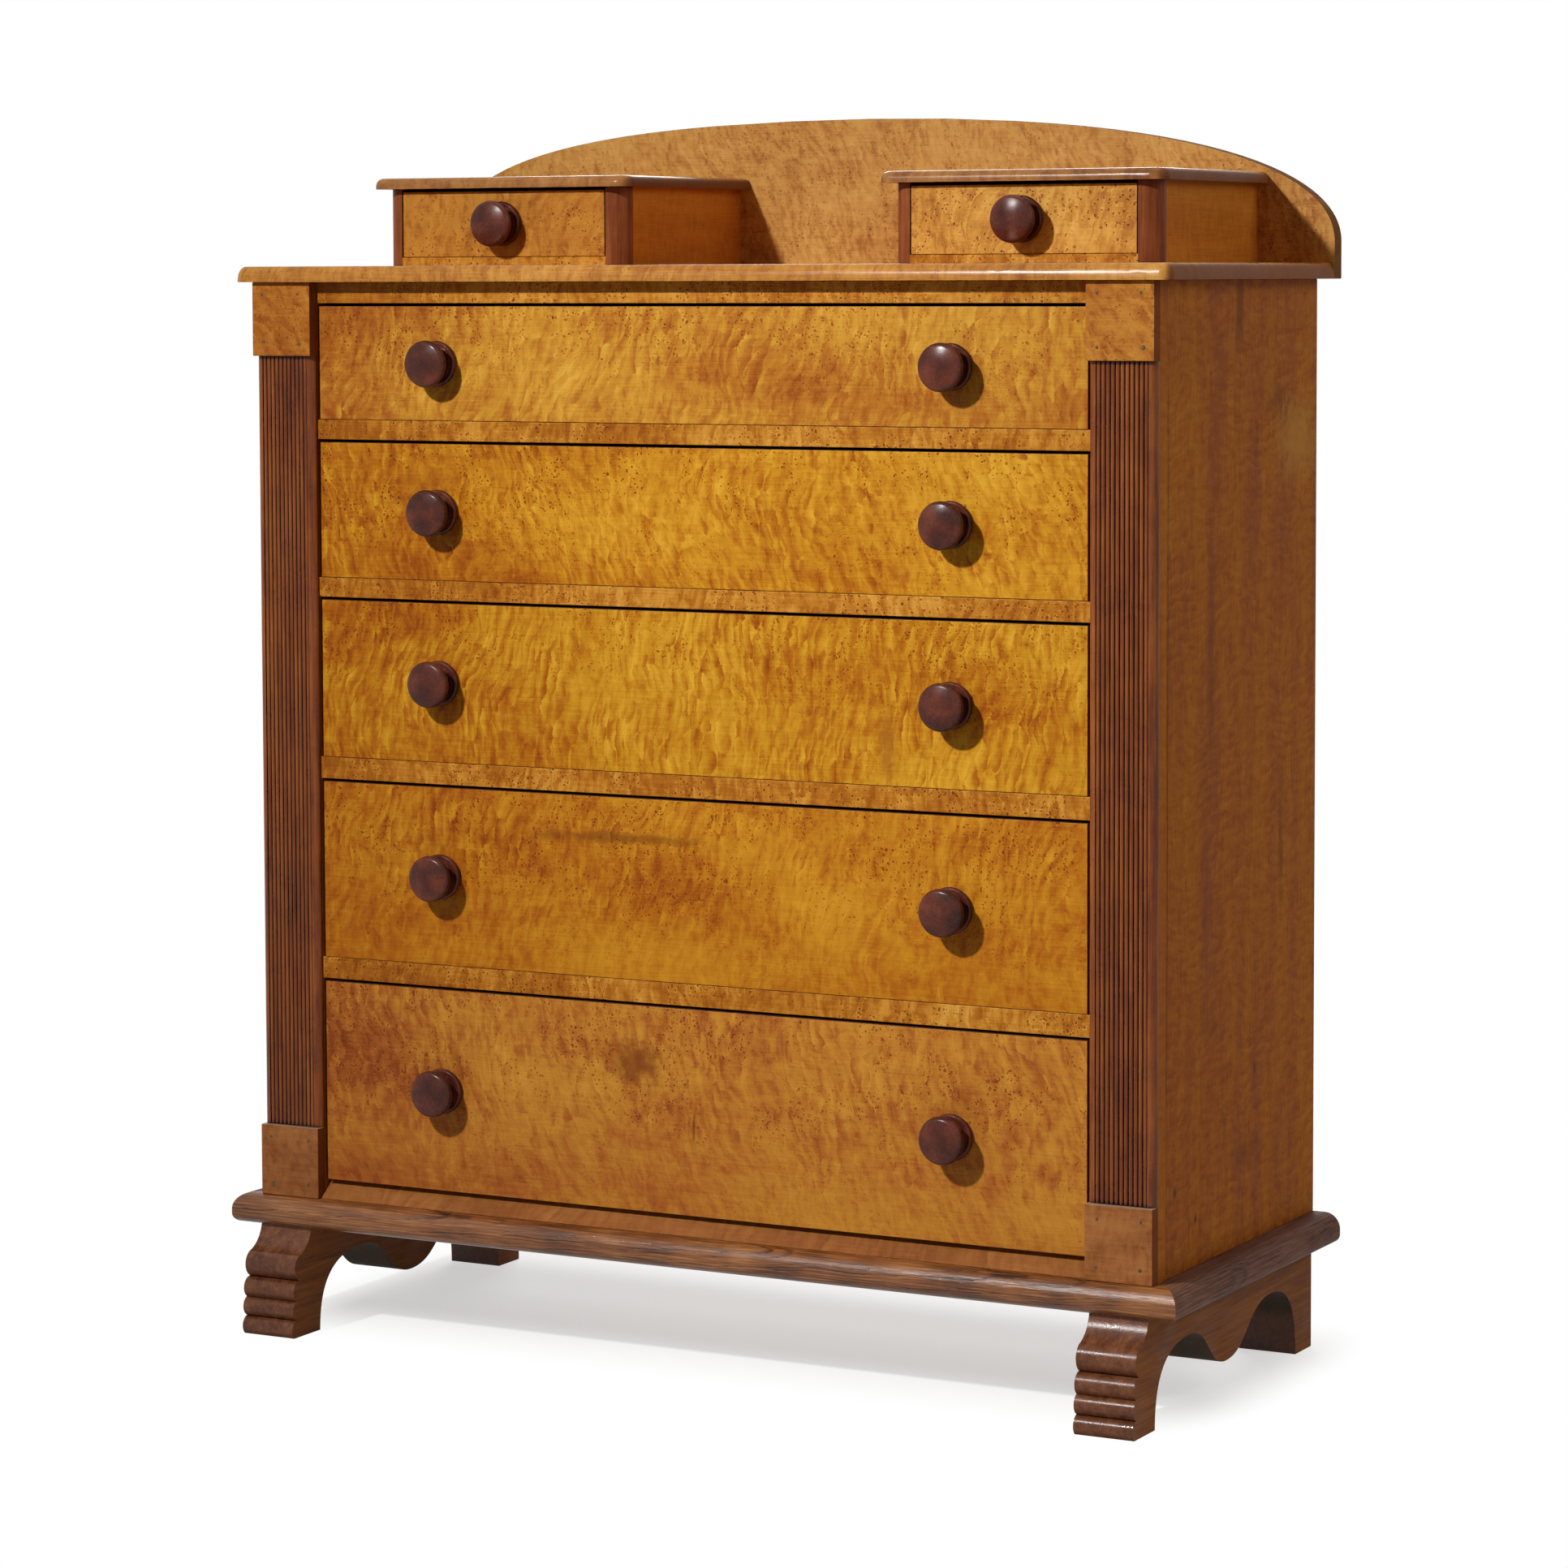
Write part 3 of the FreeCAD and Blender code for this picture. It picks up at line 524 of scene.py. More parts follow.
print(len(fronts), "drawer fronts")

# %% [markdown]
# ### Rails, backboard and deck boxes
# The rails and the strips under the little drawers are cut from wood that is full of eyes. The backboard is
# paler, and of the little drawers' fronts the left one is the browner.

# %% Dress the rails, the backboard and the box fronts
rails = [f"drawer_rail_{number}" for number in range(1, len(fronts))]
# The rails get painted shade towards their left ends
rail_maple = birdseye_maple("birdseye_maple_rails", ("#8E4C10", "#AA661A", "#BC7A26", "#CC8E34", "#DCA54A"),
                            shift=(1.7, 0, 3.1), curl=0.8, eyes=1.6, flecks=0.7, left_shade=0.08)
dress(rail_maple, "top_rail", *rails, "left_box_floor", "right_box_floor")
bevel_maple = birdseye_maple("curled_maple_bevel", ("#7A4420", "#8E552A", "#9C602F", "#A66A36", "#B47842"),
                             shift=(0.4, 0, 1.1), curl=0.6, eyes=0.2, mottle=0.5, flecks=0.3)
dress(bevel_maple, "bottom_rail")
back_tones = ("#985A2C", "#B87C3E", "#CA9048", "#D49E52", "#E0B064")
# The backboard's ends and edges get a darker stain and painted shade
back_maple = birdseye_maple("birdseye_maple_backboard", back_tones, shift=(2.2, 0, 0.3), lean=24, flame=(7, 15),
                            curl=0.7, eyes=0.7, flecks=0.6, flank="#5A3018", edges=True)
dress(back_maple, "splashback")
for side, tones in (("left", ("#8E4E1C", "#A46424", "#B2722A", "#BE8030", "#CE923C")),
                    ("right", ("#A2622A", "#C28438", "#D09640", "#DCA54C", "#E8B660"))):
    box_maple = birdseye_maple(f"birdseye_maple_{side}_box_front", tones, shift=(3.3, 0, 1.9), lean=-14,
                               curl=0.7, eyes=1.4, flank=END_GRAIN_AND_SHADE, edges=True)
    dress(box_maple, f"{side}_box_drawer_front")
print(len(rails) + 1, "rails, the bevel, the backboard and two box fronts")

# %% [markdown]
# ### Top, lids and upper blocks
# The top and the lids are plainer and redder, and wiping has kept their polish. The upper blocks have their
# flames on the slant.

# %% Dress the top, the lids and the upper blocks
# The top and the lids get a darker stain and painted shade on their ends
top_maple = birdseye_maple("amber_maple_top", ("#8A4C18", "#A66826", "#BA7C32", "#C88E3E", "#D6A050"),
                           turn=AS_TOP, shift=(4.1, 0.3, 0), curl=0.25, eyes=0.4, flecks=0.3, flank="#6A3414",
                           gloss=0.22, shine=0.18)
dress(top_maple, "top_board")
lid_maple = birdseye_maple("red_maple_lids", ("#643A1C", "#86542A", "#9C6634", "#AC763E", "#C08A50"),
                           turn=AS_TOP, shift=(5.2, 0.1, 0), curl=0.25, eyes=0.3, flecks=0.2, flank="#643218",
                           gloss=0.2, shine=0.17)
dress(lid_maple, "left_box_lid", "right_box_lid")
# The blocks' sides get a darker stain and painted shade
BLOCK_FLANK_AND_SHADE = "#703A1E"
block_maple = birdseye_maple("flamed_maple_blocks", ("#8A4614", "#A35E20", "#B26E28", "#BE7E30", "#CC8F3C"),
                             shift=(0.9, 0, 2.6), lean=50, flame=(14, 34), curl=1.2, eyes=0.7, flecks=0.7,
                             flank=BLOCK_FLANK_AND_SHADE)
dress(block_maple, "upper_block_left", "upper_block_right")
print("top, lids and upper blocks")

# %% [markdown]
# ### Sides and plain blocks
# The sides are single wide boards of plainer maple with upright grain, browner than the front. They have a
# few streaks and clouds, but hardly an eye. Only the right one shows in the photograph, so only it has marks.

# %% Dress the sides, stiles and lower blocks
side_tones = ("#743612", "#9A501B", "#AC621E", "#BA7224", "#D08E3A")
side_marks = [
    (172, 982, 80, 62, "#D09A48", 0.5), (118, 1022, 30, 26, "#4E2814", 0.4),
    (-170, 640, 1.3, 800, "#3A1D0C", 0.8), (13, 1116, 16, 70, "#5E2E14", 0.6),
    (-150, 232, 7, 9, "#4A2412", 0.8), (-96, 196, 5, 8, "#4A2412", 0.8),
    (60, 330, 6, 14, "#55290F", 0.7), (130, 560, 10, 120, "#6A3814", 0.45),
    (-60, 760, 14, 150, "#70390F", 0.4), (40, 245, 60, 22, "#6A3412", 0.35),
]
SHADED = dict(gloss=0.52, shine=0.03)  # nearly matt: the white studio would grey a polish seen at a slant
for side, shift, marks in (("right", (0.2, 0.7, 0.4), side_marks), ("left", (1.3, 0.7, 2.4), ())):
    side_maple = birdseye_maple(f"brown_maple_{side}_side", side_tones, turn=AS_SIDE, shift=shift, curl=0.4,
                                eyes=0.25, mottle=0.6, flecks=0.25, clouds=0.9, drift=(450, 30, 45),
                                grain=0.34, marks=marks, **SHADED)
    dress(side_maple, "side_panel_" + side)
stile_maple = birdseye_maple("brown_maple_stiles", side_tones, turn=AS_STILE, shift=(0.6, 0.1, 0.9), curl=0.2,
                             eyes=0.1, mottle=0.4, flecks=0.1, drift=(700, 60, 40), **SHADED)
dress(stile_maple, "front_stile_left", "front_stile_right")
end_tones = ("#A2561A", "#B86A22", "#C47626", "#CE822E", "#DA9440")
end_maple = birdseye_maple("brown_maple_box_sides", end_tones, turn=AS_BOX_END, shift=(0.8, 0.5, 0.2),
                           curl=0.3, eyes=0.1, mottle=0.5, flecks=0.1, drift=(300, 50, 40), **SHADED)
dress(end_maple, "left_box_sides", "right_box_sides")
# The lower blocks' sides get a darker stain and painted shade too
plain_maple = birdseye_maple("plain_maple_blocks", ("#74401E", "#8C542A", "#9C6236", "#AA6E3C", "#BC8048"),
                             shift=(1.1, 0.2, 0.7), curl=0.25, eyes=0.1, flecks=0.6, clouds=1.2, mottle=0.8,
                             flank=BLOCK_FLANK_AND_SHADE, gloss=0.4, dust=0.7)
dress(plain_maple, "lower_block_left", "lower_block_right")
print("sides with", len(side_marks), "marks, stiles, box sides and lower blocks")

# %% [markdown]
# ## Stained cherry
# The reeded strips, the posts of the deck boxes and the bracket feet are of a red-brown wood, most likely
# cherry under a dark stain. Its grain is quiet: long soft streaks and short dark pores.
#
# The brackets need two things that the rest do not. Their flanks were sawn, not carved: they took less stain
# and less polish than the front. Their undersides behind the front feet were never finished, and are grey
# with dust; they are also painted darker, as painted shade. Each could be a material of its own. But which
# way a face looks tells them from the rest, as it does for the sawn ends of the maple, and then the change
# from one to the other can be soft.

# %% Cherry: flanks and undersides
UNDERSIDE_FADE = 0.03  # metres over which the dust and painted shade set in


def cherry_flanks(tree, wood, roughness, bare):
    """Shows the bare wood on the faces that look sideways, and dulls them."""
    sideways = add(tree, "Math", {"operation": "ABSOLUTE"}, {0: facing(tree).outputs["X"]})
    flank = add(tree, "MapRange", inputs={"Value": sideways, "From Min": 0.6, "From Max": 0.9})
    wood = add(tree, "Mix", {"data_type": "RGBA"}, {SHARE: flank, UNDER: wood, OVER: bare}).outputs[MIXED]
    return wood, add_up(tree, roughness, (flank, 0.5))


def dusty_shaded_undersides(tree, wood, roughness, place, wear, start):
    """Greys and darkens the faces that look down, from a start in Y backwards, and dulls them all: dust, and
    painted shade.
    """
    down = add(tree, "MapRange",
               inputs={"Value": facing(tree).outputs["Z"], "From Min": -0.15, "From Max": -0.5})
    spot = add(tree, "SeparateXYZ", inputs={0: place})
    behind = add(tree, "MapRange",
                 inputs={"Value": spot.outputs["Y"], "From Min": start, "From Max": start + UNDERSIDE_FADE})
    # Dust and painted shade on the faces that look down
    dust_and_shade = add(tree, "Math", {"operation": "MULTIPLY"}, {0: down, 1: behind})
    dust_and_shade = add(tree, "Math", {"operation": "MULTIPLY"}, {0: dust_and_shade, 1: wear})
    dust_and_shade = add(tree, "Math", {"operation": "MULTIPLY", "use_clamp": True}, {0: dust_and_shade, 1: 1.6})
    wood = add(tree, "Mix", {"data_type": "RGBA"},
               {SHARE: dust_and_shade, UNDER: wood, OVER: linear("#4C4840")}).outputs[MIXED]
    return wood, add_up(tree, roughness, (down, 0.6))


print("dust sets in over", UNDERSIDE_FADE * 1000, "mm")

# %% [markdown]
# ### Grain, grime and painted shade
# Streaks, pores and worn patches are added up and pick the tone, as in the maple. The pores are drawn coarser
# than life, so that they show. Then comes the grime: a century of wax and dust has settled in the grooves. It
# could be painted into each of them. But Cycles can tell how shut in a point is, and that measure, the ambient
# occlusion, darkens the colour just there. The darkening is painted shade as well as grime.

# %% Finish: stained cherry
STREAK, PORE = 7, 1.7  # millimetres wide
ALONG = {"X": (20, 1, 1), "Y": (1, 20, 1), "Z": (1, 1, 20)}  # how much longer than wide they are
STAIN_STOPS = (0.2, 0.42, 0.6, 0.85)


def stained_cherry(name, tones, side_tones=None, grain_axis="Z", grime_and_shade="#140905", hollow=6, shut=(0.45, 0.85),
                   gloss=0.36, shine=0.18, dust_and_shade_behind=None):
    """Red-brown cherry with grime and painted shade in hollows of so many millimetres. Tones run from deep to
    pale.
    """
    finish, tree, place = start_finish(name)
    streaks = stretched_noise(tree, place, [STREAK * longer for longer in ALONG[grain_axis]], 3.0, 0.6)
    pores = stretched_noise(tree, place, [PORE * longer for longer in ALONG[grain_axis]], 2.0)
    wear = add(tree, "TexNoise",
               inputs={"Vector": place, "Scale": per(45), "Detail": 4.0, "Roughness": 0.65})
    noises = ((pores, 0.4), (streaks, 0.8), (wear, 0.4))
    figure = add_up(tree, balance(noises), *noises)
    wood = add(tree, "ValToRGB", {"stops": stops(STAIN_STOPS, tones)}, {"Fac": figure})
    roughness = add(tree, "MapRange", inputs={
        "Value": wear, "From Min": 0.3, "From Max": 0.7, "To Min": gloss - 0.08, "To Max": gloss + 0.12})
    if side_tones:
        bare = add(tree, "ValToRGB", {"stops": stops(STAIN_STOPS, side_tones)}, {"Fac": figure})
        wood, roughness = cherry_flanks(tree, wood, roughness, bare)
    # Ambient occlusion darkens the hollows: grime, and painted shade
    shut_in = add(tree, "AmbientOcclusion", {"samples": 8}, {"Distance": hollow / 1000})
    open_air = add(tree, "MapRange",
                   inputs={"Value": shut_in.outputs["AO"], "From Min": shut[0], "From Max": shut[1]})
    wood = add(tree, "Mix", {"data_type": "RGBA"},
               {SHARE: open_air, UNDER: linear(grime_and_shade), OVER: wood}).outputs[MIXED]
    if dust_and_shade_behind is not None:
        wood, roughness = dusty_shaded_undersides(tree, wood, roughness, place, wear, dust_and_shade_behind)
    end_finish(tree, wood, roughness, shine, pores, relief=0.3, depth=0.0004)
    return finish


print("cherry with pores of", PORE, "mm")

# %% [markdown]
# ### Reeds, posts and feet
# The reeds hold the most grime and painted shade, because their grooves are narrow and deep. The posts are
# plainer and duller.
# The feet are the most polished of the three, and their grain runs from front to back, as the planks lie.

# %% Dress the reeds, the posts and the feet
# Each of these gets grime and painted shade in its hollows
reed_cherry = stained_cherry("stained_cherry_reeds", ("#4E220F", "#783C1C", "#925024", "#AC6A34"),
                             shut=(0.48, 0.9), gloss=0.28, shine=0.2)
dress(reed_cherry, "reeded_pilaster_left", "reeded_pilaster_right")
post_cherry = stained_cherry("stained_cherry_posts", ("#5E2E18", "#804424", "#94542E", "#A8683C"), hollow=3,
                             shine=0.08)
dress(post_cherry, "left_box_posts", "right_box_posts")
# The feet's undersides behind the front feet get grey dust and painted shade
foot_cherry = stained_cherry("stained_cherry_feet", ("#42220F", "#643820", "#7A4A2E", "#946248"),
                             side_tones=("#42200D", "#75411B", "#8E5626", "#AA703A"), grain_axis="Y",
                             grime_and_shade="#301A10", hollow=3, shut=(0.2, 0.6), gloss=0.24, shine=0.26,
                             dust_and_shade_behind=-0.2)
dress(foot_cherry, "bracket_base_left", "bracket_base_right")
print("reeds, posts and feet")

# %% [markdown]
# ## Dark ash
# The base moulding is of a coarse wood with open pores and strong rings, stained nearly black-brown: ash or
# chestnut. Where the round edge cuts across the rings they run out in long tongues. A wave texture would
# give even stripes. These rings are made as such rings grow: as the distance from a centre line that is
# tipped a little against the board, so that the board's face cuts them at a slant, and each year is darker
# or paler by chance. Rings and pores are drawn coarser than life, so that they show in the picture.

# %% Finish: dark ash
HEART = (0, 0.13, -0.02)  # metres from the board to the middle of the tree
TIP = (0, math.radians(1.5), math.radians(1.2))
WARP = (0, 0.014, 0.014)  # metres that the rings stray from round
FRAY = 0.003              # metres that the pores fray them
YEAR = 2.6                # millimetres that the tree grew in a year
ASH_STOPS = (0.1, 0.4, 0.62, 0.9)


def dark_ash(name, tones, lengthwise, rings, gloss, shine):
    """Ring-porous wood, stained dark, for a moulding that runs along X or Y."""
    finish, tree, place = start_finish(name)
    turn = 0 if lengthwise == "X" else math.radians(90)
    board = add(tree, "Mapping", inputs={"Vector": place, "Rotation": (0, 0, turn)})
    warp = add(tree, "TexNoise", inputs={"Vector": board, "Scale": per(120), "Detail": 2.0})
    bent = add(tree, "VectorMath", {"operation": "MULTIPLY_ADD"},
               {0: warp.outputs["Color"], 1: WARP, 2: board})
    heart = add(tree, "Mapping", inputs={"Vector": bent, "Location": HEART, "Rotation": TIP})
    cross = add(tree, "VectorMath", {"operation": "MULTIPLY"}, {0: heart, 1: (0, 1, 1)})
    radius = add(tree, "VectorMath", {"operation": "LENGTH"}, {0: cross})
    pores = stretched_noise(tree, board, (60, 1.4, 1.4), 3.0, 0.7)
    # The pores fray each ring, some years are darker than others, and the rings show in some stretches most
    frayed = add_up(tree, radius.outputs["Value"], (pores, FRAY))
    year = add(tree, "Math", {"operation": "MULTIPLY"}, {0: frayed, 1: per(YEAR)})
    year_number = add(tree, "Math", {"operation": "FLOOR"}, {0: year})
    weather = add(tree, "TexWhiteNoise", {"noise_dimensions": "1D"}, {"W": year_number})
    season = add(tree, "Math", {"operation": "FRACT"}, {0: year})
    porous = add(tree, "MapRange", inputs={
        "Value": season, "From Min": 0.0, "From Max": 0.45, "To Min": -rings, "To Max": 0.0})
    wear = add(tree, "TexNoise", inputs={"Vector": place, "Scale": per(80), "Detail": 3.0})
    shown = add(tree, "MapRange", inputs={
        "Value": wear, "From Min": 0.35, "From Max": 0.62, "To Min": 1.0, "To Max": 0.25})
    shown = add(tree, "Math", {"operation": "MULTIPLY"}, {0: shown, 1: weather.outputs["Value"]})
    # The start lies a little over the balance, because rings only darken
    figure = add_up(tree, -0.33, (pores, 1.2), (porous, shown), (wear, 0.6))
    wood = add(tree, "ValToRGB", {"stops": stops(ASH_STOPS, tones)}, {"Fac": figure})
    sheen = add(tree, "MapRange", inputs={
        "Value": pores, "From Min": 0.3, "From Max": 0.7, "To Min": gloss + 0.1, "To Max": gloss - 0.06})
    end_finish(tree, wood, sheen, shine, figure, relief=0.4, depth=0.0007)
    return finish


front_ash = dark_ash("dark_ash_front_moulding", ("#200E08", "#5E3418", "#8E562A", "#BA864E"), "X", rings=0.9,
                     gloss=0.25, shine=0.4)
dress(front_ash, "base_moulding_front")
side_ash = dark_ash("dusty_ash_side_mouldings", ("#331B13", "#5C392B", "#734C3A", "#8E6852"), "Y", rings=0.6,
                    gloss=0.55, shine=0.08)
dress(side_ash, "base_moulding_left", "base_moulding_right")
print("base mouldings with a ring every", YEAR, "mm")

# %% [markdown]
# ## Turned mahogany
# The knobs were turned on a lathe, with the grain running from front to back, so the face shows end grain:
# fine dark dots in a plain red-brown, which are drawn coarser than life, so that they show. Handling has
# polished the knobs, and they are the glossiest things here.

# %% Finish: turned mahogany
knobs = [f"drawer_{number}_knobs" for number in fronts] + ["left_box_drawer_knob", "right_box_drawer_knob"]
knob_wood, tree, place = start_finish("turned_mahogany")
pores = stretched_noise(tree, place, (2.5, 25, 2.5), 2.0)
mottle = add(tree, "TexNoise", inputs={"Vector": place, "Scale": per(24), "Detail": 3.0})
noises = ((pores, 0.4), (mottle, 1.0))
figure = add_up(tree, balance(noises), *noises)
knob_stops = stops((0.25, 0.5, 0.8), ("#301512", "#54261A", "#763A28"))
wood = add(tree, "ValToRGB", {"stops": knob_stops}, {"Fac": figure})
sheen = add(tree, "MapRange", inputs={
    "Value": mottle, "From Min": 0.3, "From Max": 0.7, "To Min": 0.2, "To Max": 0.3})
end_finish(tree, wood, sheen, 0.2, pores, relief=0.15, depth=0.0003)
dress(knob_wood, *knobs)
print("knobs on", len(knobs), "drawers")

# %% [markdown]
# ## Old pine
# Inside, where nobody looks, cabinetmakers used pine, left bare. It has gone the colour of weak tea, with
# soft rings along the boards and dust on top. The back is one object of four boards. Counting how many
# boards' heights a point lies up tells which board it is on, and each gets its own piece of the pattern.

# %% Finish: old pine
PLACE_UNDER, PLACE_OVER, PLACE_MIXED = 4, 5, 1  # the same sockets of a mix of places
PINE_GRAIN = {"X": (per(300), per(9), per(9)), "Y": (per(9), per(300), per(9))}
PINE_STOPS = stops((0.25, 0.5, 0.75), ("#8B6038", "#B68858", "#CAA275"))


def old_pine(name, grain_axis, courses=None):
    """Bare pine with rings along one axis. Courses, a lowest z and a height, part a back into its boards."""
    finish, tree, place = start_finish(name)
    dust = add(tree, "TexNoise", inputs={"Vector": place, "Scale": per(70), "Detail": 4.0})
    noises = [(dust, 0.4)]
    trunk = place
    if courses:
        spot = add(tree, "SeparateXYZ", inputs={0: place})
        course = add(tree, "Math", {"operation": "SUBTRACT"}, {0: spot.outputs["Z"], 1: courses[0]})
        course = add(tree, "Math", {"operation": "DIVIDE"}, {0: course, 1: courses[1]})
        course = add(tree, "Math", {"operation": "FLOOR"}, {0: course})
        chance = add(tree, "TexWhiteNoise", {"noise_dimensions": "1D"}, {"W": course})
        trunk = add(tree, "VectorMath", {"operation": "ADD"}, {0: place, 1: chance.outputs["Color"]})
        noises.append((chance.outputs["Value"], 0.3))
    board = add(tree, "Mapping", inputs={"Vector": trunk, "Scale": PINE_GRAIN[grain_axis]})
    if grain_axis == "Y":
        # A drawer's back runs from side to side, and so does its grain
        endways = add(tree, "Math", {"operation": "ABSOLUTE"}, {0: facing(tree).outputs["Y"]})
        is_back = add(tree, "Math", {"operation": "GREATER_THAN"}, {0: endways, 1: 0.5})
        crosswise = add(tree, "Mapping", inputs={"Vector": place, "Scale": PINE_GRAIN["X"]})
        board = add(tree, "Mix", {"data_type": "VECTOR"},
                    {SHARE: is_back, PLACE_UNDER: board, PLACE_OVER: crosswise}).outputs[PLACE_MIXED]
    rings = add(tree, "TexNoise",
                inputs={"Vector": board, "Scale": 1.0, "Detail": 4.0, "Roughness": 0.6, "Distortion": 0.4})
    noises.append((rings, 1.0))
    figure = add_up(tree, balance(noises), *noises)
    wood = add(tree, "ValToRGB", {"stops": PINE_STOPS}, {"Fac": figure})
    end_finish(tree, wood, 0.75, 0.2, rings, relief=0.4, depth=0.0005)
    return finish


boxes = [f"drawer_{number}_box" for number in fronts] + ["left_box_drawer_box", "right_box_drawer_box"]
dress(old_pine("old_pine_drawer_sides", "Y"), "drawer_runners", *boxes)
dress(old_pine("old_pine_bottoms", "X"), "bottom_board", *[f"drawer_{number}_bottom" for number in fronts])
BACK_LOW, BACK_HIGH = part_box("back_boards")
BACK_COURSES = 4  # boards, one over the other
COURSE = (BACK_HIGH[2] - BACK_LOW[2]) / BACK_COURSES
dress(old_pine("old_pine_back", "X", courses=(BACK_LOW[2], COURSE)), "back_boards")
print("pine inside, and a back of", BACK_COURSES, "boards of", round(COURSE * 1000), "mm")

# %% [markdown]
# ## Nails
# Someone once nailed the corner blocks on, four cut nails to a block, and the back boards are nailed into
# their rabbets as such boards always were. The iron has rusted to a dull brown, pitted by a fine noise. Rust
# is no metal any more, so the shader's metallic setting stays at nought.

# %% Finish: rusted iron
iron, tree, place = start_finish("rusted_iron_nails")
rust = add(tree, "TexNoise", inputs={"Vector": place, "Scale": per(2), "Detail": 3.0})
rust_stops = stops((0.3, 0.5, 0.7), ("#463626", "#64563E", "#807256"))
scale = add(tree, "ValToRGB", {"stops": rust_stops}, {"Fac": rust})
end_finish(tree, scale, 0.7, 0.2, rust, relief=0.5, depth=0.0003)
print("iron in", len(rust_stops), "tones of rust")

# %% [markdown]
# A head is a low, uneven dome of three to five millimetres. A flattened sphere would look too neat, so it is
# built from rings of points round a middle, each point pushed in or out by a seeded random amount, with a
# skirt that runs into the wood. Each nail is also a little astray. All nails of a board are one piece.

# %% Nail heads
HEAD_RADIUS = (0.0017, 0.0024)  # metres, from the smallest to the largest
HEAD_POINTS = 12
HEAD_TOP = 0.0005  # metres over the wood
HEAD_RINGS = ((1.0, -0.0012), (0.97, 0.0001), (0.7, 0.0004))  # part of the radius, height over the wood
UNEVEN = (0.9, 1.08)  # part of a ring's radius
ASTRAY = 0.002  # metres that a nail may be out of its place
dice = random.Random(1830)


def nail_head(shape, x, y, z, forward):
    """Adds one uneven domed head to a mesh. It faces the front, or with forward -1 the back."""
    radius = dice.uniform(*HEAD_RADIUS)
    rims = []
    for part, height in HEAD_RINGS:
        rim = []
        for step in range(HEAD_POINTS):
            angle = math.tau * step / HEAD_POINTS
            reach = radius * part * dice.uniform(*UNEVEN)
            rim.append(shape.verts.new(
                (x + reach * math.cos(angle), y - forward * height, z + reach * math.sin(angle))))
        rims.append(rim)
    top = shape.verts.new((x, y - forward * HEAD_TOP, z))
    for outer, inner in zip(rims, rims[1:]):
        for step in range(HEAD_POINTS):
            after = (step + 1) % HEAD_POINTS
            shape.faces.new((outer[step], outer[after], inner[after], inner[step]))
    for step in range(HEAD_POINTS):
        shape.faces.new((rims[-1][step], rims[-1][(step + 1) % HEAD_POINTS], top))
    shape.faces.new(list(reversed(rims[0])))


def drive_nails(board, spots, y, forward):
    """Puts nails into a board at spots (x, z), each a little astray, and lets them ride on the case."""
    shape = bmesh.new()
    for x, z in spots:
        nail_head(shape, x + dice.uniform(-ASTRAY, ASTRAY), y, z + dice.uniform(-ASTRAY, ASTRAY), forward)
    bmesh.ops.recalc_face_normals(shape, faces=shape.faces)
    mesh = bpy.data.meshes.new("nails_" + board)
    shape.to_mesh(mesh)
    shape.free()
    mesh.materials.append(iron)
    mesh.shade_smooth()
    nails = bpy.data.objects.new("nails_" + board, mesh)
    scene.collection.objects.link(nails)
    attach(nails, "case")


print("heads of", HEAD_POINTS, "points round")

# %% [markdown]
# In a block the nails stand near the four corners. The back has three at each end of each board. Their places
# could be written down one by one. They are worked out from the boards' own boxes instead, so the nails stay
# on their boards if the chest is made in another size.

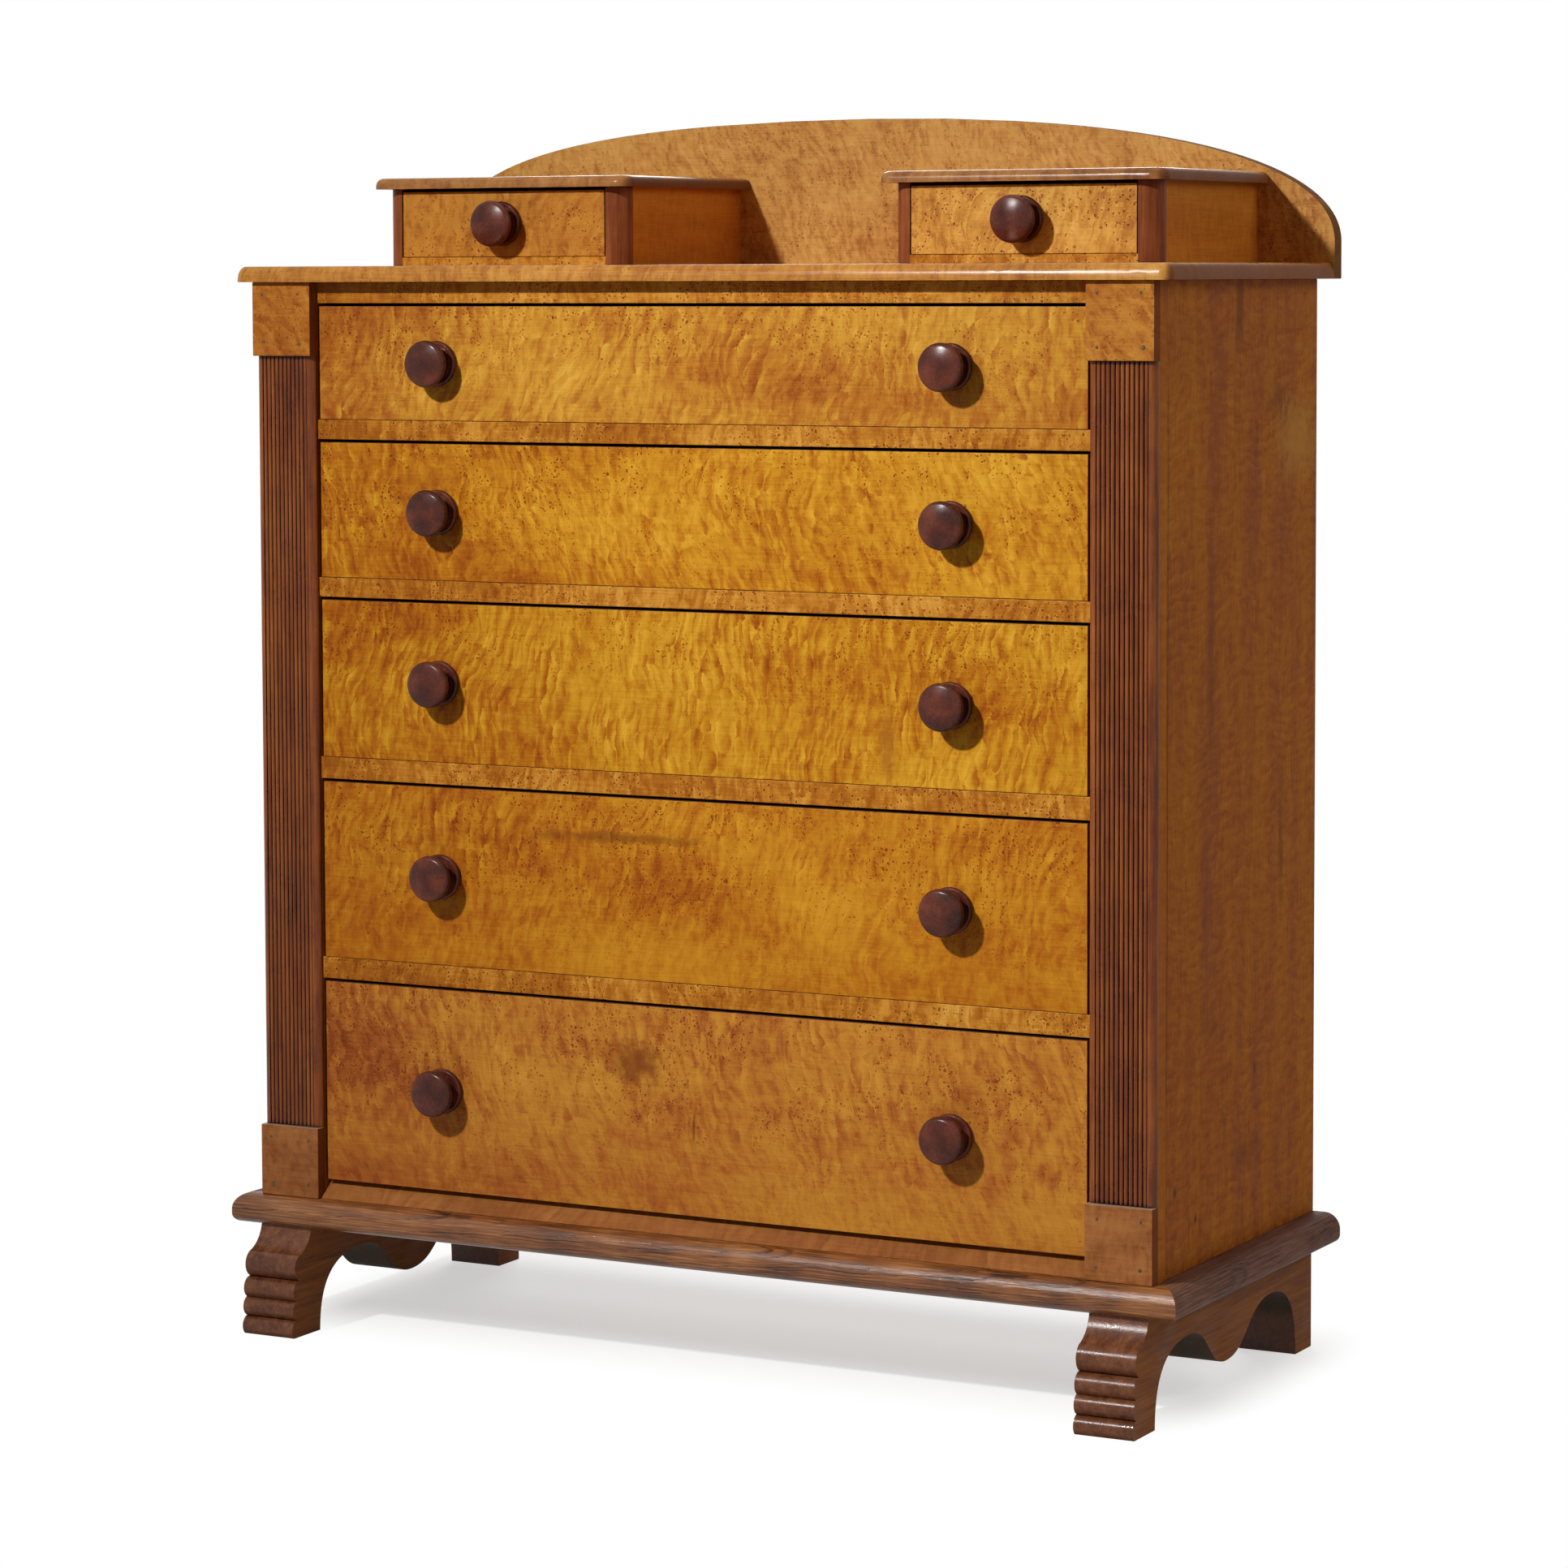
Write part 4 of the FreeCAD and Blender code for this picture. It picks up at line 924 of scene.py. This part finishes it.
# %% Drive the nails
BLOCK_INSET = 0.0135              # metres from a block's edges
RABBET_INSET = 0.007              # metres from the back boards' ends
COURSE_NAILS = (0.15, 0.5, 0.85)  # heights in a back board, as parts of its own
blocks = ["upper_block_left", "upper_block_right", "lower_block_left", "lower_block_right"]
for block in blocks:
    low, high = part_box(block)
    corners = [(x, z) for x in (low[0] + BLOCK_INSET, high[0] - BLOCK_INSET)
               for z in (low[2] + BLOCK_INSET, high[2] - BLOCK_INSET)]
    drive_nails(block, corners, low[1], forward=1)
rabbets = [(x, BACK_LOW[2] + (number + part) * COURSE)
           for x in (BACK_LOW[0] + RABBET_INSET, BACK_HIGH[0] - RABBET_INSET)
           for number in range(BACK_COURSES) for part in COURSE_NAILS]
drive_nails("back_boards", rabbets, BACK_HIGH[1], forward=-1)
print(len(corners), "nails in each of", len(blocks), "blocks,", len(rabbets), "in the back boards")

# %% [markdown]
# ## Worn edges
# No edge on an old chest is sharp: hands, cloths and knees have rounded them all by half a millimetre or
# more, and that narrow round is what catches the light. A bevel modifier does this without touching the
# boards themselves. It needs a clean skin to work on, so the boards' triangles are first welded together and
# those that lie in one plane are dissolved into one face. After the bevel, weighted normals keep the shading
# of the large faces flat.

# %% Round the edges
WELD = 0.00002            # metres: points that are nearer than this are one
WORN = 0.0009             # metres of wood that an edge has lost
SHARP = math.radians(40)  # the least angle of a real edge
FLAT = math.radians(1)    # faces within this angle are one
worn = ["top_rail", "bottom_rail", *rails, *[f"drawer_{number}_front" for number in fronts],
        "left_box_drawer_front", "right_box_drawer_front", *blocks, "splashback", "front_stile_left",
        "front_stile_right", "side_panel_left", "side_panel_right"]
for name in worn:
    boards[name].modifiers.new("weld", "WELD").merge_threshold = WELD
    plain = boards[name].modifiers.new("plain_faces", "DECIMATE")
    plain.decimate_type = "DISSOLVE"
    plain.angle_limit = FLAT
    edge = boards[name].modifiers.new("worn_edge", "BEVEL")
    edge.width = WORN
    edge.segments = 2
    edge.limit_method = "ANGLE"
    edge.angle_limit = SHARP
    boards[name].modifiers.new("flat_faces", "WEIGHTED_NORMAL").weight = 100
print(len(worn), "boards with worn edges")

# %% [markdown]
# The knobs come from the solid model with a stray shading direction at the very middle of the dome, where
# all its triangles meet. Welded, split only at real edges and given fresh weighted normals, they shade as
# smoothly as they were turned.

# %% Smooth the knobs
for name in knobs:
    boards[name].modifiers.new("weld", "WELD").merge_threshold = WELD
    boards[name].modifiers.new("real_edges", "EDGE_SPLIT").split_angle = SHARP
    boards[name].modifiers.new("smooth_dome", "WEIGHTED_NORMAL").mode = "FACE_AREA_WITH_ANGLE"
print("smooth knobs on", len(knobs), "drawers")
